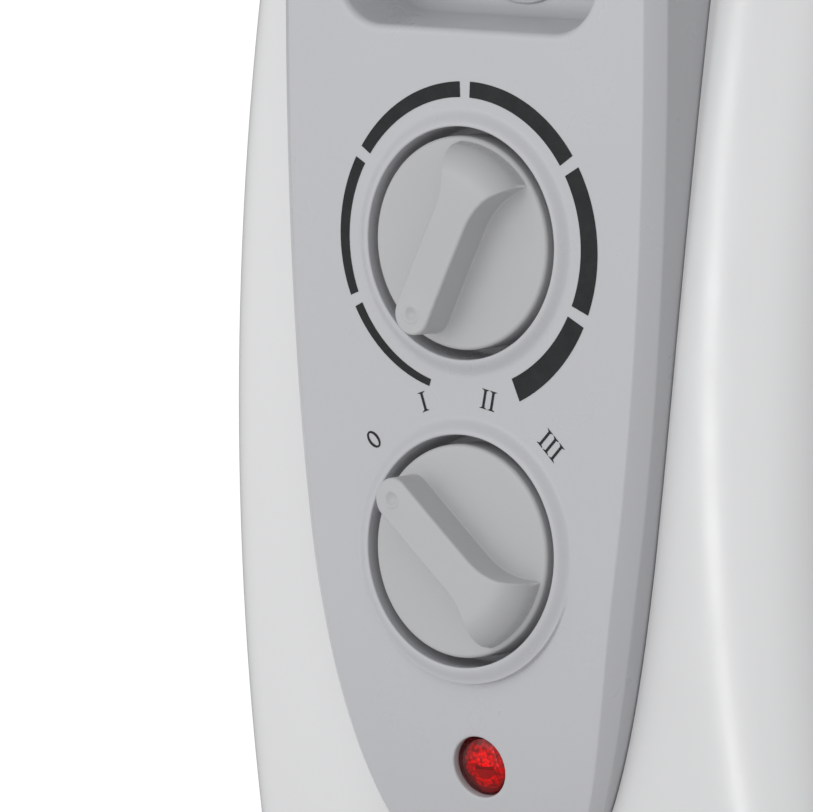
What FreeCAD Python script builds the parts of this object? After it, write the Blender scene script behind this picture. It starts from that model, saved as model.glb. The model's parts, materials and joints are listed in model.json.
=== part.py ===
"""Oil filled radiator heater with nine fins and a control housing on one end.

Row frame: +Z up, floor at Z = 0, the control panel faces -Y, and the fins stack along +Y.
Shapes are first made in a local frame whose Y = 0 is the panel's flat front face; save() then
moves every solid by Y_SHIFT, so that the origin is the bottom centre of the whole heater.
Units are millimetres.
"""
import FreeCAD
import Part
import math
import os

V = FreeCAD.Vector
X_AXIS, Y_AXIS, Z_AXIS = V(1, 0, 0), V(0, 1, 0), V(0, 0, 1)

# ---- overall layout ----
TOP_Z = 612.0            # top of the control housing
HOUSING_BOTTOM_Z = 92.0
HOUSING_BACK_Y = 95.0
APEX_Z = 425.0           # height where the housing bulges furthest forward
WALL = 2.5
BULGE_R = 500.0          # side view radius of the housing's front
BULGE_DROP = 85.0        # below the apex by this much the front runs straight
CROWN_R = 227.0          # plan view radius of the housing's front
HOUSING_HALF_W = 80.0
HOUSING_CORNER_R = 17.0
HOUSING_FRONT_Y = 3.7    # housing's front under the panel, at the apex
TOP_ROLL, BOTTOM_ROLL = 22.0, 12.0
PLATE_T = 1.2
PLATE_Y = 93.0           # front face of the steel back plate
SCREW_HEAD_R, SCREW_HEAD_T = 3.5, 2.2
BACK_SCREW_R, PANEL_SCREW_R = 1.6, 1.5
BACK_SCREW_X, BACK_SCREW_Z = 71.0, (140.0, 340.0, 540.0)
GLAND_X, GLAND_Y, GLAND_R, GLAND_BORE_R = -30.0, 80.0, 7.5, 3.7
WRAP_Z = 205.0           # middle of the cord wrap
WRAP_CORE = (24.0, 26.0, 20.0)   # half width, half height and corner radius
WRAP_LIP = (40.0, 44.0, 26.0)
WRAP_DEPTH, WRAP_LIP_T = 26.0, 3.0
VENT_ROWS, VENT_LOW_Z, VENT_PITCH = 10, 190.0, 30.0
VENT_X, VENT_HALF_W, VENT_H = 38.0, 20.0, 5.0
CUTOUT_R, CUTOUT_X, CUTOUT_Z = 9.0, 30.0, 500.0
TERMINAL_HALF_W, TERMINAL_Z = 26.0, (560.0, 578.0)

# ---- control panel ----
PANEL_HALF_W = 51.0
PANEL_REF_Z = APEX_Z + 90.5      # below this height the panel narrows
PANEL_TIP_DROP = 192.0           # from PANEL_REF_Z down to the panel's pointed end
PANEL_TOP_R = 47.0               # roll of the panel over the top of the housing
PANEL_LOW_R = 222.0              # backward curve of the panel below the selector knob
PANEL_EDGE_R = 2.5
PANEL_WALL = 2.4
PANEL_GAP = 0.35                 # seam between the panel and the housing

# ---- knobs ----
KNOB_R = 22.75
THERMOSTAT_Z = APEX_Z + 39.8
KNOB_SPACING = 65.5
SELECTOR_Z = THERMOSTAT_Z - KNOB_SPACING
THERMOSTAT_ANGLE = -153.0        # pointer at rest, clockwise from straight up, seen from the front
SELECTOR_ANGLE = -51.0
KNOB_FACE_Y = -1.3               # knob disc stands this far proud of the panel
KNOB_BACK_Y = 6.0
KNOB_WALL = 2.0
HUB_R = 5.5
GRIP_H = 8.2
GRIP_HALF_W = 4.6
GRIP_TIP = 16.5                  # middle of the bar's round tip, from the knob's axis
GRIP_TAIL_HALF_W = 9.8
GRIP_WAIST = -11.0               # the bar's straight sides end here and flare out
DIMPLE_R, DIMPLE_DEPTH = 2.2, 0.4
WELL_R = 24.6
WELL_FLOOR_Y = 9.0
RING_R = 27.8
RING_PROUD = 1.5
SPINDLE_R, SPINDLE_FLAT = 3.0, 2.2
RUNNING = 0.05                   # radial clearance of every turning fit
CONTROL_Y0 = 14.0                # front face of the thermostat and of the switch
SPINDLE_END_Y = CONTROL_Y0 + 10
NOSE_R = 6.0                     # threaded nose that seats on the back of the well
LUG_Y0, LUG_Y1 = 18.0, 24.0      # screw lugs at the panel's sides
LUG_REACH = 5.0
LUG_HALF_H, LUG_HOLE_R = 5.0, 1.9
THERMOSTAT_HALF_W, THERMOSTAT_HALF_H, THERMOSTAT_BACK_Y = 20.0, 15.0, 40.0
SWITCH_R, SWITCH_BACK_Y = 18.0, 36.0
TAB_X, TAB_Z, TAB_L = 9.0, 8.0, 8.0      # blade terminals from the switch's axis
TAB_HALF_W, TAB_HALF_T = 3.1, 0.4
LUG_Z = (APEX_Z + 45, APEX_Z - 30)

# ---- printed scale ----
SCALE_R = 30.85
SCALE_START, SCALE_END = -163.0, 156.0
SCALE_GAPS = (-115.0, -57.5, 0.0, 57.5, 115.0)
SCALE_GAP_W = 2.5
SCALE_THIN, SCALE_THICK = 1.05, 1.167    # outer over inner radius at the two ends
PRINT_T = 0.12
NUMERAL_R = 33.0
NUMERAL_ANGLES = (-47.5, -19.5, 11.0, 44.0)
NUMERAL_H = 4.2

# ---- pilot lamp, finger pocket and badge ----
LAMP_Z = SELECTOR_Z - 46.6
LENS_R = 6.75
BULB_R, HOLDER_R = 2.4, 5.0
POCKET_HALF_W, POCKET_H, POCKET_DEPTH = 34.0, 42.0, 21.0
POCKET_LOW_Z = THERMOSTAT_Z + 45.4
POCKET_CORNER_R = 11.0
BADGE_R, BADGE_T = 14.0, 0.8

# ---- fins ----
FIN_COUNT = 9
FIN_PITCH = 38.0
FIRST_FIN_Y = 117.0
FIN_HALF_W = 75.0
FIN_LOW_Z, FIN_TOP_Z = 72.0, 604.0
FIN_SHEET = 0.8
FIN_CORNER_R = 36.0
HEM_W, HEM_T = 3.5, 4.0
CHANNEL_H = 5.5                  # bulge of the oil channels from the middle plane
CHANNEL_HALF_W = 12.0
CHANNEL_X = (-40.0, 0.0, 40.0)
CHANNEL_CORNER_R, HEADER_CORNER_R, CHANNEL_DRAFT = 9.0, 20.0, 4.0
UPPER_HEADER_Z, LOWER_HEADER_Z = 544.0, 127.0
HEADER_HALF_W, HEADER_HALF_H = 56.0, 24.0
COLLAR_R, COLLAR_BORE_R = 20.0, 18.8
LAST_FIN_Y = FIRST_FIN_Y + FIN_PITCH * (FIN_COUNT - 1)
FRONT_NECK_Y = 98.0              # front end of the necks on the first fin
PLUG_T = 1.5

# ---- heating elements ----
FLANGE_R, FLANGE_T = 24.0, 8.0
STUD_R, STUD_END_Y = 3.0, 82.0           # stud on the upper header that the back plate hangs on
ELEMENT_R = 3.25
LEG_X, LEG_Z = 8.0, 7.0          # legs of the two hairpins from the header's axis
COLD_END_Y = 78.0
ELEMENT_END_Y = LAST_FIN_Y - 20
LEAD_R = 1.2

# ---- feet and casters ----
FOOT_Y = (FIRST_FIN_Y + FIN_PITCH / 2, LAST_FIN_Y - FIN_PITCH / 2)
FOOT_HALF_X, FOOT_HALF_Y = 125.0, 25.0
FOOT_T = 1.6
FOOT_END_Z = 60.0
FOOT_FLANGE = 10.0
CASTER_X = 106.0
WHEEL_R, WHEEL_T = 20.0, 9.5
WHEEL_INNER_X = 6.0              # gap from the caster's middle to each wheel
WHEEL_ROOM = 1.2
HOOD_HALF_W = 18.0
HOOD_T = 2.2
CASTER_TRAIL = 14.0
AXLE_R = 2.5
STEM_R, STEM_LOW_Z = 3.5, 33.0
POST_R, POST_LOW_Z = 7.0, 28.0
HOOD_TOP_Z = 46.0
U_BOLT_R = 3.0
U_BOLT_X = COLLAR_R + U_BOLT_R + 0.2

KNOB_FRONT_Y = KNOB_FACE_Y - GRIP_H
WELL_BACK_Y = WELL_FLOOR_Y + PANEL_WALL
PLATE_BACK_Y = PLATE_Y + PLATE_T
BACK_SCREWS = [(side * BACK_SCREW_X, z) for z in BACK_SCREW_Z for side in (-1, 1)]
Y_SHIFT = -(KNOB_FRONT_Y + LAST_FIN_Y + CHANNEL_H + PLUG_T) / 2


# ---- helpers ----
def save(name, *shapes):
    """Writes one node. Several shapes stay separate solids of one compound."""
    shape = shapes[0] if len(shapes) == 1 else Part.Compound(list(shapes))
    shape = shape.copy()
    shape.translate(V(0, Y_SHIFT, 0))
    assert shape.isValid() and shape.Solids, name
    shape.exportStep(os.path.join("parts", name + ".step"))


def cyl_y(r, y0, y1, x=0.0, z=0.0):
    return Part.makeCylinder(r, y1 - y0, V(x, y0, z), Y_AXIS)


def cyl_z(r, z0, z1, x=0.0, y=0.0):
    return Part.makeCylinder(r, z1 - z0, V(x, y, z0), Z_AXIS)


def cyl_x(r, x0, x1, y=0.0, z=0.0):
    return Part.makeCylinder(r, x1 - x0, V(x0, y, z), X_AXIS)


def box(x0, x1, y0, y1, z0, z1):
    return Part.makeBox(x1 - x0, y1 - y0, z1 - z0, V(x0, y0, z0))


def ring_y(r_out, r_in, y0, y1, x=0.0, z=0.0):
    return cyl_y(r_out, y0, y1, x, z).cut(cyl_y(r_in, y0 - 1, y1 + 1, x, z))


def polygon(points):
    return Part.Face(Part.makePolygon([V(*p) for p in points] + [V(*points[0])]))


def rounded_wire(half_w, z0, z1, r, y=0.0, x=0.0):
    """Rounded rectangle in the plane Y = y."""
    x0, x1 = x - half_w, x + half_w
    q = r * (1 - math.sqrt(0.5))
    corners = ((x1, z1, -1, -1), (x0, z1, 1, -1), (x0, z0, 1, 1), (x1, z0, -1, 1))
    edges = []
    starts, ends = [], []
    for i, (cx, cz, sx, sz) in enumerate(corners):
        along_x = V(cx + sx * r, y, cz)
        along_z = V(cx, y, cz + sz * r)
        first, last = (along_z, along_x) if i % 2 == 0 else (along_x, along_z)
        edges.append(Part.Arc(first, V(cx + sx * q, y, cz + sz * q), last).toShape())
        starts.append(first)
        ends.append(last)
        if i:
            edges.insert(-1, Part.LineSegment(ends[i - 1], first).toShape())
    edges.append(Part.LineSegment(ends[-1], starts[0]).toShape())
    return Part.Wire(edges)


def rounded_slab(half_w, z0, z1, r, y0, y1, x=0.0):
    face = Part.Face(rounded_wire(half_w, z0, z1, r, y0, x))
    return face.extrude(V(0, y1 - y0, 0))


def pillow(half_w, z0, z1, r, height, draft, x=0.0):
    """Pressed bulge on both sides of Y = 0, its walls leaning in by draft."""
    halves = []
    for side in (1, -1):
        base = rounded_wire(half_w, z0, z1, r, 0.0, x)
        crest = rounded_wire(half_w - draft, z0 + draft, z1 - draft, r - draft, side * height, x)
        halves.append(Part.makeLoft([base, crest], True, True))
    return halves[0].fuse(halves[1])


def tube(points, r, bend):
    """Straight runs joined by tangent arcs of one radius."""
    pts = [V(*p) for p in points]
    edges, at = [], pts[0]
    for a, b, c in zip(pts, pts[1:], pts[2:]):
        d_in, d_out = (b - a).normalize(), (c - b).normalize()
        half_turn = d_in.getAngle(d_out) / 2
        cut_back = bend * math.tan(half_turn)
        start, end = b - d_in * cut_back, b + d_out * cut_back
        inward = (d_out - d_in).normalize()
        middle = b + inward * (bend / math.cos(half_turn) - bend)
        edges += [Part.LineSegment(at, start).toShape(), Part.Arc(start, middle, end).toShape()]
        at = end
    edges.append(Part.LineSegment(at, pts[-1]).toShape())
    profile = Part.Wire(Part.makeCircle(r, pts[0], pts[1] - pts[0]))
    return Part.Wire(edges).makePipeShell([profile], True, True)


# ---- control housing: horizontal sections stacked up the height ----
def housing_front(z):
    """Depth of the housing's front on the centre line, before the top and bottom roll."""
    s = z - APEX_Z
    if s > -BULGE_DROP:
        return HOUSING_FRONT_Y + s * s / (2 * BULGE_R)
    start = HOUSING_FRONT_Y + BULGE_DROP ** 2 / (2 * BULGE_R)
    return start + (-s - BULGE_DROP) * BULGE_DROP / BULGE_R


def roll_inset(z, inset):
    """How far a section pulls in near the top and the bottom."""
    above, below = TOP_Z - inset - z, z - HOUSING_BOTTOM_Z - inset
    for edge, r in ((above, TOP_ROLL - inset), (below, BOTTOM_ROLL - inset)):
        if edge < r:
            return r - math.sqrt(max(r * r - (r - edge) ** 2, 0.0))
    return 0.0


def housing_section(z, inset, back_y):
    e = inset + roll_inset(z, inset)
    b = HOUSING_HALF_W - e
    front = housing_front(z) + e
    rc, crown = HOUSING_CORNER_R - inset, CROWN_R - inset
    crown_y = front + crown
    corner_x = b - rc
    corner_y = crown_y - math.sqrt((crown - rc) ** 2 - corner_x ** 2)
    lean = math.atan2(corner_x, crown_y - corner_y)
    touch = V(corner_x + rc * math.sin(lean), corner_y - rc * math.cos(lean), z)
    mid = (lean + math.pi / 2) / 2
    knee = V(corner_x + rc * math.sin(mid), corner_y - rc * math.cos(mid), z)
    side, back = V(b, corner_y, z), V(b, back_y, z)

    def left(p):
        return V(-p.x, p.y, p.z)

    return Part.Wire([
        Part.LineSegment(left(back), left(side)).toShape(),
        Part.Arc(left(side), left(knee), left(touch)).toShape(),
        Part.Arc(left(touch), V(0, front, z), touch).toShape(),
        Part.Arc(touch, knee, side).toShape(),
        Part.LineSegment(side, back).toShape(),
        Part.LineSegment(back, left(back)).toShape(),
    ])


def housing_solid(inset, back_y):
    top, bottom = TOP_Z - inset, HOUSING_BOTTOM_Z + inset
    top_r, bottom_r = TOP_ROLL - inset, BOTTOM_ROLL - inset
    roll = (0, 18, 36, 54, 72, 90)
    low = [bottom + bottom_r * (1 - math.sin(math.radians(a))) for a in reversed(roll)]
    high = [top - top_r * (1 - math.sin(math.radians(a))) for a in roll]
    span = high[0] - low[-1]
    middle = [low[-1] + span * i / 16 for i in range(1, 16)]
    levels = low + middle + high
    return Part.makeLoft([housing_section(z, inset, back_y) for z in levels], True, True)


# ---- control panel ----
def panel_half_width(z):
    t = (PANEL_REF_Z - z) / PANEL_TIP_DROP
    return PANEL_HALF_W * (1 - max(t, 0.0) ** 2) ** (1 / 3)


def lug_places():
    return [(side * (panel_half_width(z) + LUG_REACH), z) for z in LUG_Z for side in (-1, 1)]


def panel_front(z):
    """Depth of the panel's face on its curved lower part."""
    drop = max(SELECTOR_Z - z, 0.0)
    return drop * drop / (2 * PANEL_LOW_R)


def panel_outline(grow):
    """Front view of the panel as an extruded slab, wider all round by grow."""
    tip = PANEL_REF_Z - PANEL_TIP_DROP
    steps = 14
    right = []
    for i in range(steps + 1):
        z = PANEL_REF_Z - PANEL_TIP_DROP * math.sin(math.pi / 2 * i / steps)
        w = panel_half_width(z)
        right.append(V(w + grow * min(1.0, w / 20), 0, z - grow * (1 - w / PANEL_HALF_W)))
    right[-1] = V(0, 0, tip - grow)
    left = [V(-p.x, 0, p.z) for p in reversed(right[:-1])]
    curve = Part.BSplineCurve()
    curve.interpolate(right + left)
    wall, top = PANEL_HALF_W + grow, TOP_Z + 40
    corners = [V(-wall, 0, PANEL_REF_Z), V(-wall, 0, top), V(wall, 0, top), V(wall, 0, PANEL_REF_Z)]
    lines = [Part.LineSegment(a, b).toShape() for a, b in zip(corners, corners[1:])]
    slab = Part.Face(Part.Wire([curve.toShape()] + lines)).extrude(V(0, 200, 0))
    slab.translate(V(0, -50, 0))
    return slab


def panel_side(inset, back_extra=0.0):
    """Side view of the panel as a slab across X: flat face, curved foot and rolled top."""
    tip = PANEL_REF_Z - PANEL_TIP_DROP - 8
    drop = SELECTOR_Z - tip
    flat_top = TOP_Z - PANEL_TOP_R
    low_r = PANEL_LOW_R - inset
    angle = math.asin(drop / PANEL_LOW_R)
    centre = V(0, PANEL_LOW_R, SELECTOR_Z)
    half = angle / 2
    foot = centre + V(0, -low_r * math.cos(angle), -low_r * math.sin(angle))
    foot_mid = centre + V(0, -low_r * math.cos(half), -low_r * math.sin(half))
    top_r = PANEL_TOP_R - inset
    knee = top_r * math.sqrt(0.5)
    top_end = V(0, PANEL_TOP_R, TOP_Z - inset)
    top_mid = V(0, PANEL_TOP_R - knee, flat_top + knee)
    back = [V(0, 50 + back_extra, TOP_Z - inset), V(0, 50 + back_extra, 600),
            V(0, 24 + back_extra, 500), V(0, 24 + back_extra, foot.z)]
    edges = [
        Part.Arc(foot, foot_mid, V(0, inset, SELECTOR_Z)).toShape(),
        Part.LineSegment(V(0, inset, SELECTOR_Z), V(0, inset, flat_top)).toShape(),
        Part.Arc(V(0, inset, flat_top), top_mid, top_end).toShape(),
        Part.LineSegment(top_end, back[0]).toShape(),
    ]
    edges += [Part.LineSegment(a, b).toShape() for a, b in zip(back, back[1:] + [foot])]
    slab = Part.Face(Part.Wire(edges)).extrude(V(200, 0, 0))
    slab.translate(V(-100, 0, 0))
    return slab


def control_panel():
    outer = panel_outline(0).common(panel_side(0))
    rim = [e for e in outer.Edges if e.BoundBox.YMin < 14 and e.BoundBox.ZMin > 300
           and abs(abs(e.CenterOfMass.x) - PANEL_HALF_W) < 0.1 and e.CenterOfMass.z < TOP_Z - 5]
    outer = outer.makeFillet(PANEL_EDGE_R, rim)
    hollow = panel_outline(-PANEL_WALL).common(panel_side(PANEL_WALL, 30))
    shell = outer.cut(hollow)
    add, cut = [], []
    for z in (THERMOSTAT_Z, SELECTOR_Z):
        add += [cyl_y(RING_R, -RING_PROUD, WELL_BACK_Y, 0, z)]
        cut += [cyl_y(WELL_R, -10, WELL_FLOOR_Y, 0, z), cyl_y(SPINDLE_R + 0.4, 0, 20, 0, z)]
    lens_y = panel_front(LAMP_Z)
    add += [ring_y(LENS_R + 1.6, LENS_R, lens_y + 2, lens_y + 4, 0, LAMP_Z)]
    cut += [cyl_y(LENS_R, -10, 20, 0, LAMP_Z)]
    top = POCKET_LOW_Z + POCKET_H
    w = PANEL_WALL
    add += [rounded_slab(POCKET_HALF_W + w, POCKET_LOW_Z - w, top + w, POCKET_CORNER_R + w,
                         1, POCKET_DEPTH + w)]
    cut += [rounded_slab(POCKET_HALF_W, POCKET_LOW_Z, top, POCKET_CORNER_R, -5, POCKET_DEPTH)]
    for x, z in lug_places():
        ends = [math.copysign(abs(x) + reach, x) for reach in (LUG_REACH - 1, -LUG_REACH - 1.5)]
        add += [box(min(ends), max(ends), LUG_Y0, LUG_Y1, z - LUG_HALF_H, z + LUG_HALF_H)]
        cut += [cyl_y(LUG_HOLE_R, LUG_Y0 - 1, LUG_Y1 + 1, x, z)]
    return shell.multiFuse(add).cut(Part.Compound(cut)).removeSplitter()


def control_housing():
    outer = housing_solid(0, HOUSING_BACK_Y)
    shell = outer.cut(housing_solid(WALL, HOUSING_BACK_Y + 20))
    opening = panel_outline(PANEL_GAP).common(panel_side(-PANEL_GAP, PANEL_GAP))
    shell = shell.cut(opening)
    bosses, holes = [], []
    for x, z in lug_places():
        bosses.append(cyl_y(4, housing_front(z) + 4, LUG_Y0, x, z).common(outer))
        holes.append(cyl_y(PANEL_SCREW_R, LUG_Y1 - 9, LUG_Y0 + 1, x, z))
    for x, z in BACK_SCREWS:
        wall_x = math.copysign(HOUSING_HALF_W - 1, x)
        bosses.append(box(min(x - 5, wall_x), max(x + 5, wall_x), 72, PLATE_Y, z - 5, z + 5).common(outer))
        holes.append(cyl_y(BACK_SCREW_R, PLATE_BACK_Y - 14, PLATE_Y + 1, x, z))
    holes.append(cyl_z(GLAND_R, HOUSING_BOTTOM_Z - 5, HOUSING_BOTTOM_Z + 15, GLAND_X, GLAND_Y))
    return outer, shell.multiFuse(bosses).cut(Part.Compound(holes))


def through_plate(r, x, z):
    return cyl_y(r, PLATE_Y - 5, PLATE_BACK_Y + 5, x, z)


def back_plate():
    """Sheet steel heat shield that closes the housing towards the first fin."""
    inset = WALL + 0.4
    low, top = HOUSING_BOTTOM_Z + inset, TOP_Z - inset
    plate = rounded_slab(HOUSING_HALF_W - inset, low, top, TOP_ROLL - 2, PLATE_Y, PLATE_BACK_Y)
    cuts = [through_plate(FLANGE_R + 1.5, 0, LOWER_HEADER_Z), through_plate(STUD_R + 0.5, 0, UPPER_HEADER_Z)]
    cuts += [through_plate(BACK_SCREW_R + 0.4, x, z) for x, z in BACK_SCREWS]
    for row in range(VENT_ROWS):
        z = VENT_LOW_Z + row * VENT_PITCH
        for x in (-VENT_X, VENT_X):
            cuts.append(rounded_slab(VENT_HALF_W, z, z + VENT_H, VENT_H / 2 - 0.1,
                                     PLATE_Y - 5, PLATE_BACK_Y + 5, x))
    return plate.cut(Part.Compound(cuts))


# ---- knobs ----
def knob(z, angle):
    """Disc with a skirt, a hub and a raised pointer bar that flares at its tail."""
    disc = cyl_y(KNOB_R, KNOB_FACE_Y, KNOB_BACK_Y)
    disc = disc.cut(cyl_y(KNOB_R - KNOB_WALL, KNOB_FACE_Y + 2.5, KNOB_BACK_Y + 1))
    hub = cyl_y(HUB_R, KNOB_FACE_Y + KNOB_WALL, KNOB_BACK_Y + 2)
    w, tip, tail = GRIP_HALF_W, GRIP_TIP, KNOB_R - 1.6
    waist, flare, corner = GRIP_WAIST, GRIP_TAIL_HALF_W, 2 - tail
    middle = (waist + corner) / 2
    outline = Part.Wire([
        Part.Arc(V(w, 0, tip), V(0, 0, tip + w), V(-w, 0, tip)).toShape(),
        Part.LineSegment(V(-w, 0, tip), V(-w, 0, waist)).toShape(),
        Part.Arc(V(-w, 0, waist), V(-w - 1.2, 0, middle), V(-flare, 0, corner)).toShape(),
        Part.Arc(V(-flare, 0, corner), V(0, 0, -tail), V(flare, 0, corner)).toShape(),
        Part.Arc(V(flare, 0, corner), V(w + 1.2, 0, middle), V(w, 0, waist)).toShape(),
        Part.LineSegment(V(w, 0, waist), V(w, 0, tip)).toShape(),
    ])
    bar = Part.Face(outline).extrude(V(0, -GRIP_H - 1, 0))
    bar.translate(V(0, KNOB_FACE_Y + 1, 0))
    slope = polygon([(-30, KNOB_FRONT_Y - 1, -6), (-30, KNOB_FRONT_Y, -6), (-30, KNOB_FACE_Y - 1, -tail),
                     (-30, KNOB_FACE_Y - 1, -40), (-30, KNOB_FRONT_Y - 1, -40)]).extrude(V(60, 0, 0))
    dimple = Part.makeSphere(DIMPLE_R, V(0, KNOB_FRONT_Y + DIMPLE_DEPTH - DIMPLE_R, tip))
    return turned(disc.multiFuse([hub, bar.cut(slope)]).cut(dimple).cut(flatted_shaft()), z, angle)


def turned(shape, z, angle):
    shape.rotate(V(0, 0, 0), Y_AXIS, angle)
    shape.translate(V(0, 0, z))
    return shape


def flatted_shaft():
    """Round shaft whose front end has a flat that the knob's bore matches."""
    front, flat_end = KNOB_FACE_Y + 2.5, WELL_FLOOR_Y - 0.5
    shaft = cyl_y(SPINDLE_R, front, SPINDLE_END_Y)
    return shaft.cut(box(-SPINDLE_R, SPINDLE_R, front, flat_end, SPINDLE_FLAT, SPINDLE_R + 1))


def nose(z):
    return cyl_y(NOSE_R, WELL_BACK_Y, CONTROL_Y0 + 1, 0, z)


def spindle_bore(z):
    return cyl_y(SPINDLE_R + RUNNING, WELL_BACK_Y - 1, SPINDLE_END_Y + 0.5, 0, z)


def thermostat():
    z = THERMOSTAT_Z
    w, h, back = THERMOSTAT_HALF_W, THERMOSTAT_HALF_H, THERMOSTAT_BACK_Y
    body = box(-w, w, CONTROL_Y0, back, z - h, z + h).fuse(nose(z)).cut(spindle_bore(z))
    strip = box(-w - 6, w + 6, back + 2, back + 3, z - 5, z + 5).fuse(
        box(-w - 4, 2 - w, back, back + 2, z - 5, z + 5))
    return body, strip


def selector_switch():
    z = SELECTOR_Z
    body = cyl_y(SWITCH_R, CONTROL_Y0, SWITCH_BACK_Y, 0, z).fuse(nose(z)).cut(spindle_bore(z))
    tabs = [box(x - TAB_HALF_W, x + TAB_HALF_W, SWITCH_BACK_Y, SWITCH_BACK_Y + TAB_L,
                z + dz - TAB_HALF_T, z + dz + TAB_HALF_T)
            for x in (-TAB_X, TAB_X) for dz in (-TAB_Z, TAB_Z)]
    return body, tabs


# ---- printed marks ----
def on_panel(shape):
    """Keeps the thin skin of a slab that lies on the panel's face."""
    skin = panel_side(-PRINT_T).cut(panel_side(0))
    return shape.common(skin)


def scale_outer(angle):
    share = (angle - SCALE_START) / (SCALE_END - SCALE_START)
    return SCALE_R * (SCALE_THIN + (SCALE_THICK - SCALE_THIN) * share)


def dial_scale():
    """Six arc segments whose width grows steadily with the temperature."""
    z = THERMOSTAT_Z
    edges = [SCALE_START] + list(SCALE_GAPS) + [SCALE_END]
    half_gap = math.degrees(SCALE_GAP_W / 2 / SCALE_R)
    segments = []
    for i, (a, b) in enumerate(zip(edges, edges[1:])):
        a += half_gap if i else 0
        b -= half_gap if i < len(SCALE_GAPS) else 0

        def at(r, angle):
            return V(r * math.sin(math.radians(angle)), -1, z + r * math.cos(math.radians(angle)))

        m = (a + b) / 2
        face = Part.Face(Part.Wire([
            Part.Arc(at(SCALE_R, a), at(SCALE_R, m), at(SCALE_R, b)).toShape(),
            Part.LineSegment(at(SCALE_R, b), at(scale_outer(b), b)).toShape(),
            Part.Arc(at(scale_outer(b), b), at(scale_outer(m), m), at(scale_outer(a), a)).toShape(),
            Part.LineSegment(at(scale_outer(a), a), at(SCALE_R, a)).toShape(),
        ]))
        segments.append(on_panel(face.extrude(V(0, 4, 0))))
    return segments


def numeral_strokes(count):
    """0 is an oval ring, and 1 to 3 are serifed bars."""
    h = NUMERAL_H / 2
    if count == 0:
        outer = Part.Face(Part.Wire(Part.Ellipse(V(0, h, 0), V(1.3, 0, 0), V(0, 0, 0)).toShape()))
        inner = Part.Face(Part.Wire(Part.Ellipse(V(0, h - 0.5, 0), V(0.75, 0, 0), V(0, 0, 0)).toShape()))
        ring = outer.cut(inner).extrude(V(0, 0, 4))
        ring.rotate(V(0, 0, 0), X_AXIS, 90)
        ring.translate(V(0, 3, 0))
        return ring
    bars = []
    for i in range(count):
        x = (i - (count - 1) / 2) * 2.1
        bars += [box(x - 0.3, x + 0.3, -1, 3, -h, h)]
        bars += [box(x - 0.95, x + 0.95, -1, 3, s * (h - 0.2) - 0.2, s * (h - 0.2) + 0.2) for s in (-1, 1)]
    return bars[0].multiFuse(bars[1:]).removeSplitter()


def selector_numerals():
    marks = []
    for count, angle in enumerate(NUMERAL_ANGLES):
        mark = numeral_strokes(count)
        mark.translate(V(0, 0, NUMERAL_R))
        mark.rotate(V(0, 0, 0), Y_AXIS, angle)
        mark.translate(V(0, 0, SELECTOR_Z))
        marks.append(on_panel(mark))
    return marks


# ---- pilot lamp ----
def pilot_lamp():
    y = panel_front(LAMP_Z) + 0.5
    lens = cyl_y(LENS_R - 0.1, y, y + 4.4, 0, LAMP_Z).fuse(cyl_y(LENS_R + 2, y + 4.4, y + 6, 0, LAMP_Z))
    lens = lens.cut(cyl_y(LENS_R - 1.6, y + 1.6, y + 7, 0, LAMP_Z))
    bulb = cyl_y(BULB_R, y + 2.2, y + 14, 0, LAMP_Z)
    holder = ring_y(HOLDER_R, BULB_R, y + 4, y + 26, 0, LAMP_Z)
    return lens, bulb, holder


# ---- fins ----
def fin():
    plate = rounded_slab(FIN_HALF_W, FIN_LOW_Z, FIN_TOP_Z, FIN_CORNER_R, -FIN_SHEET, FIN_SHEET)
    hem = rounded_slab(FIN_HALF_W, FIN_LOW_Z, FIN_TOP_Z, FIN_CORNER_R, -HEM_T / 2, HEM_T / 2).cut(
        rounded_slab(FIN_HALF_W - HEM_W, FIN_LOW_Z + HEM_W, FIN_TOP_Z - HEM_W, FIN_CORNER_R - HEM_W, -5, 5))

    def channels(inset):
        height = CHANNEL_H - inset
        shapes = [pillow(CHANNEL_HALF_W - inset, LOWER_HEADER_Z, UPPER_HEADER_Z, CHANNEL_CORNER_R, height,
                         CHANNEL_DRAFT, x) for x in CHANNEL_X]
        for z in (LOWER_HEADER_Z, UPPER_HEADER_Z):
            shapes.append(pillow(HEADER_HALF_W - inset, z - HEADER_HALF_H + inset, z + HEADER_HALF_H - inset,
                                 HEADER_CORNER_R, height, CHANNEL_DRAFT))
        return shapes

    bores = [cyl_y(COLLAR_BORE_R, -20, 20, 0, z) for z in (LOWER_HEADER_Z, UPPER_HEADER_Z)]
    return plate.multiFuse([hem] + channels(0)).cut(Part.Compound(channels(FIN_SHEET) + bores))


def collars(z, first_y):
    """Pressed necks that join the fins; first_y is where the row starts."""
    rings = [ring_y(COLLAR_R, COLLAR_BORE_R, first_y, FIRST_FIN_Y - CHANNEL_H, 0, z)]
    for i in range(FIN_COUNT - 1):
        y = FIRST_FIN_Y + FIN_PITCH * i + CHANNEL_H
        rings.append(ring_y(COLLAR_R, COLLAR_BORE_R, y, y + FIN_PITCH - 2 * CHANNEL_H, 0, z))
    return rings


# ---- heating elements ----
def hairpin(dz):
    """One U-shaped element in the lower oil header, its cold ends in the housing."""
    x, z = LEG_X, LOWER_HEADER_Z + dz
    legs = [cyl_y(ELEMENT_R, COLD_END_Y, ELEMENT_END_Y, s * x, z) for s in (-1, 1)]
    bend = Part.makeTorus(x, ELEMENT_R, V(0, ELEMENT_END_Y, z), Z_AXIS, -180, 180, 180)
    return legs[0].multiFuse([legs[1], bend])


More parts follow.
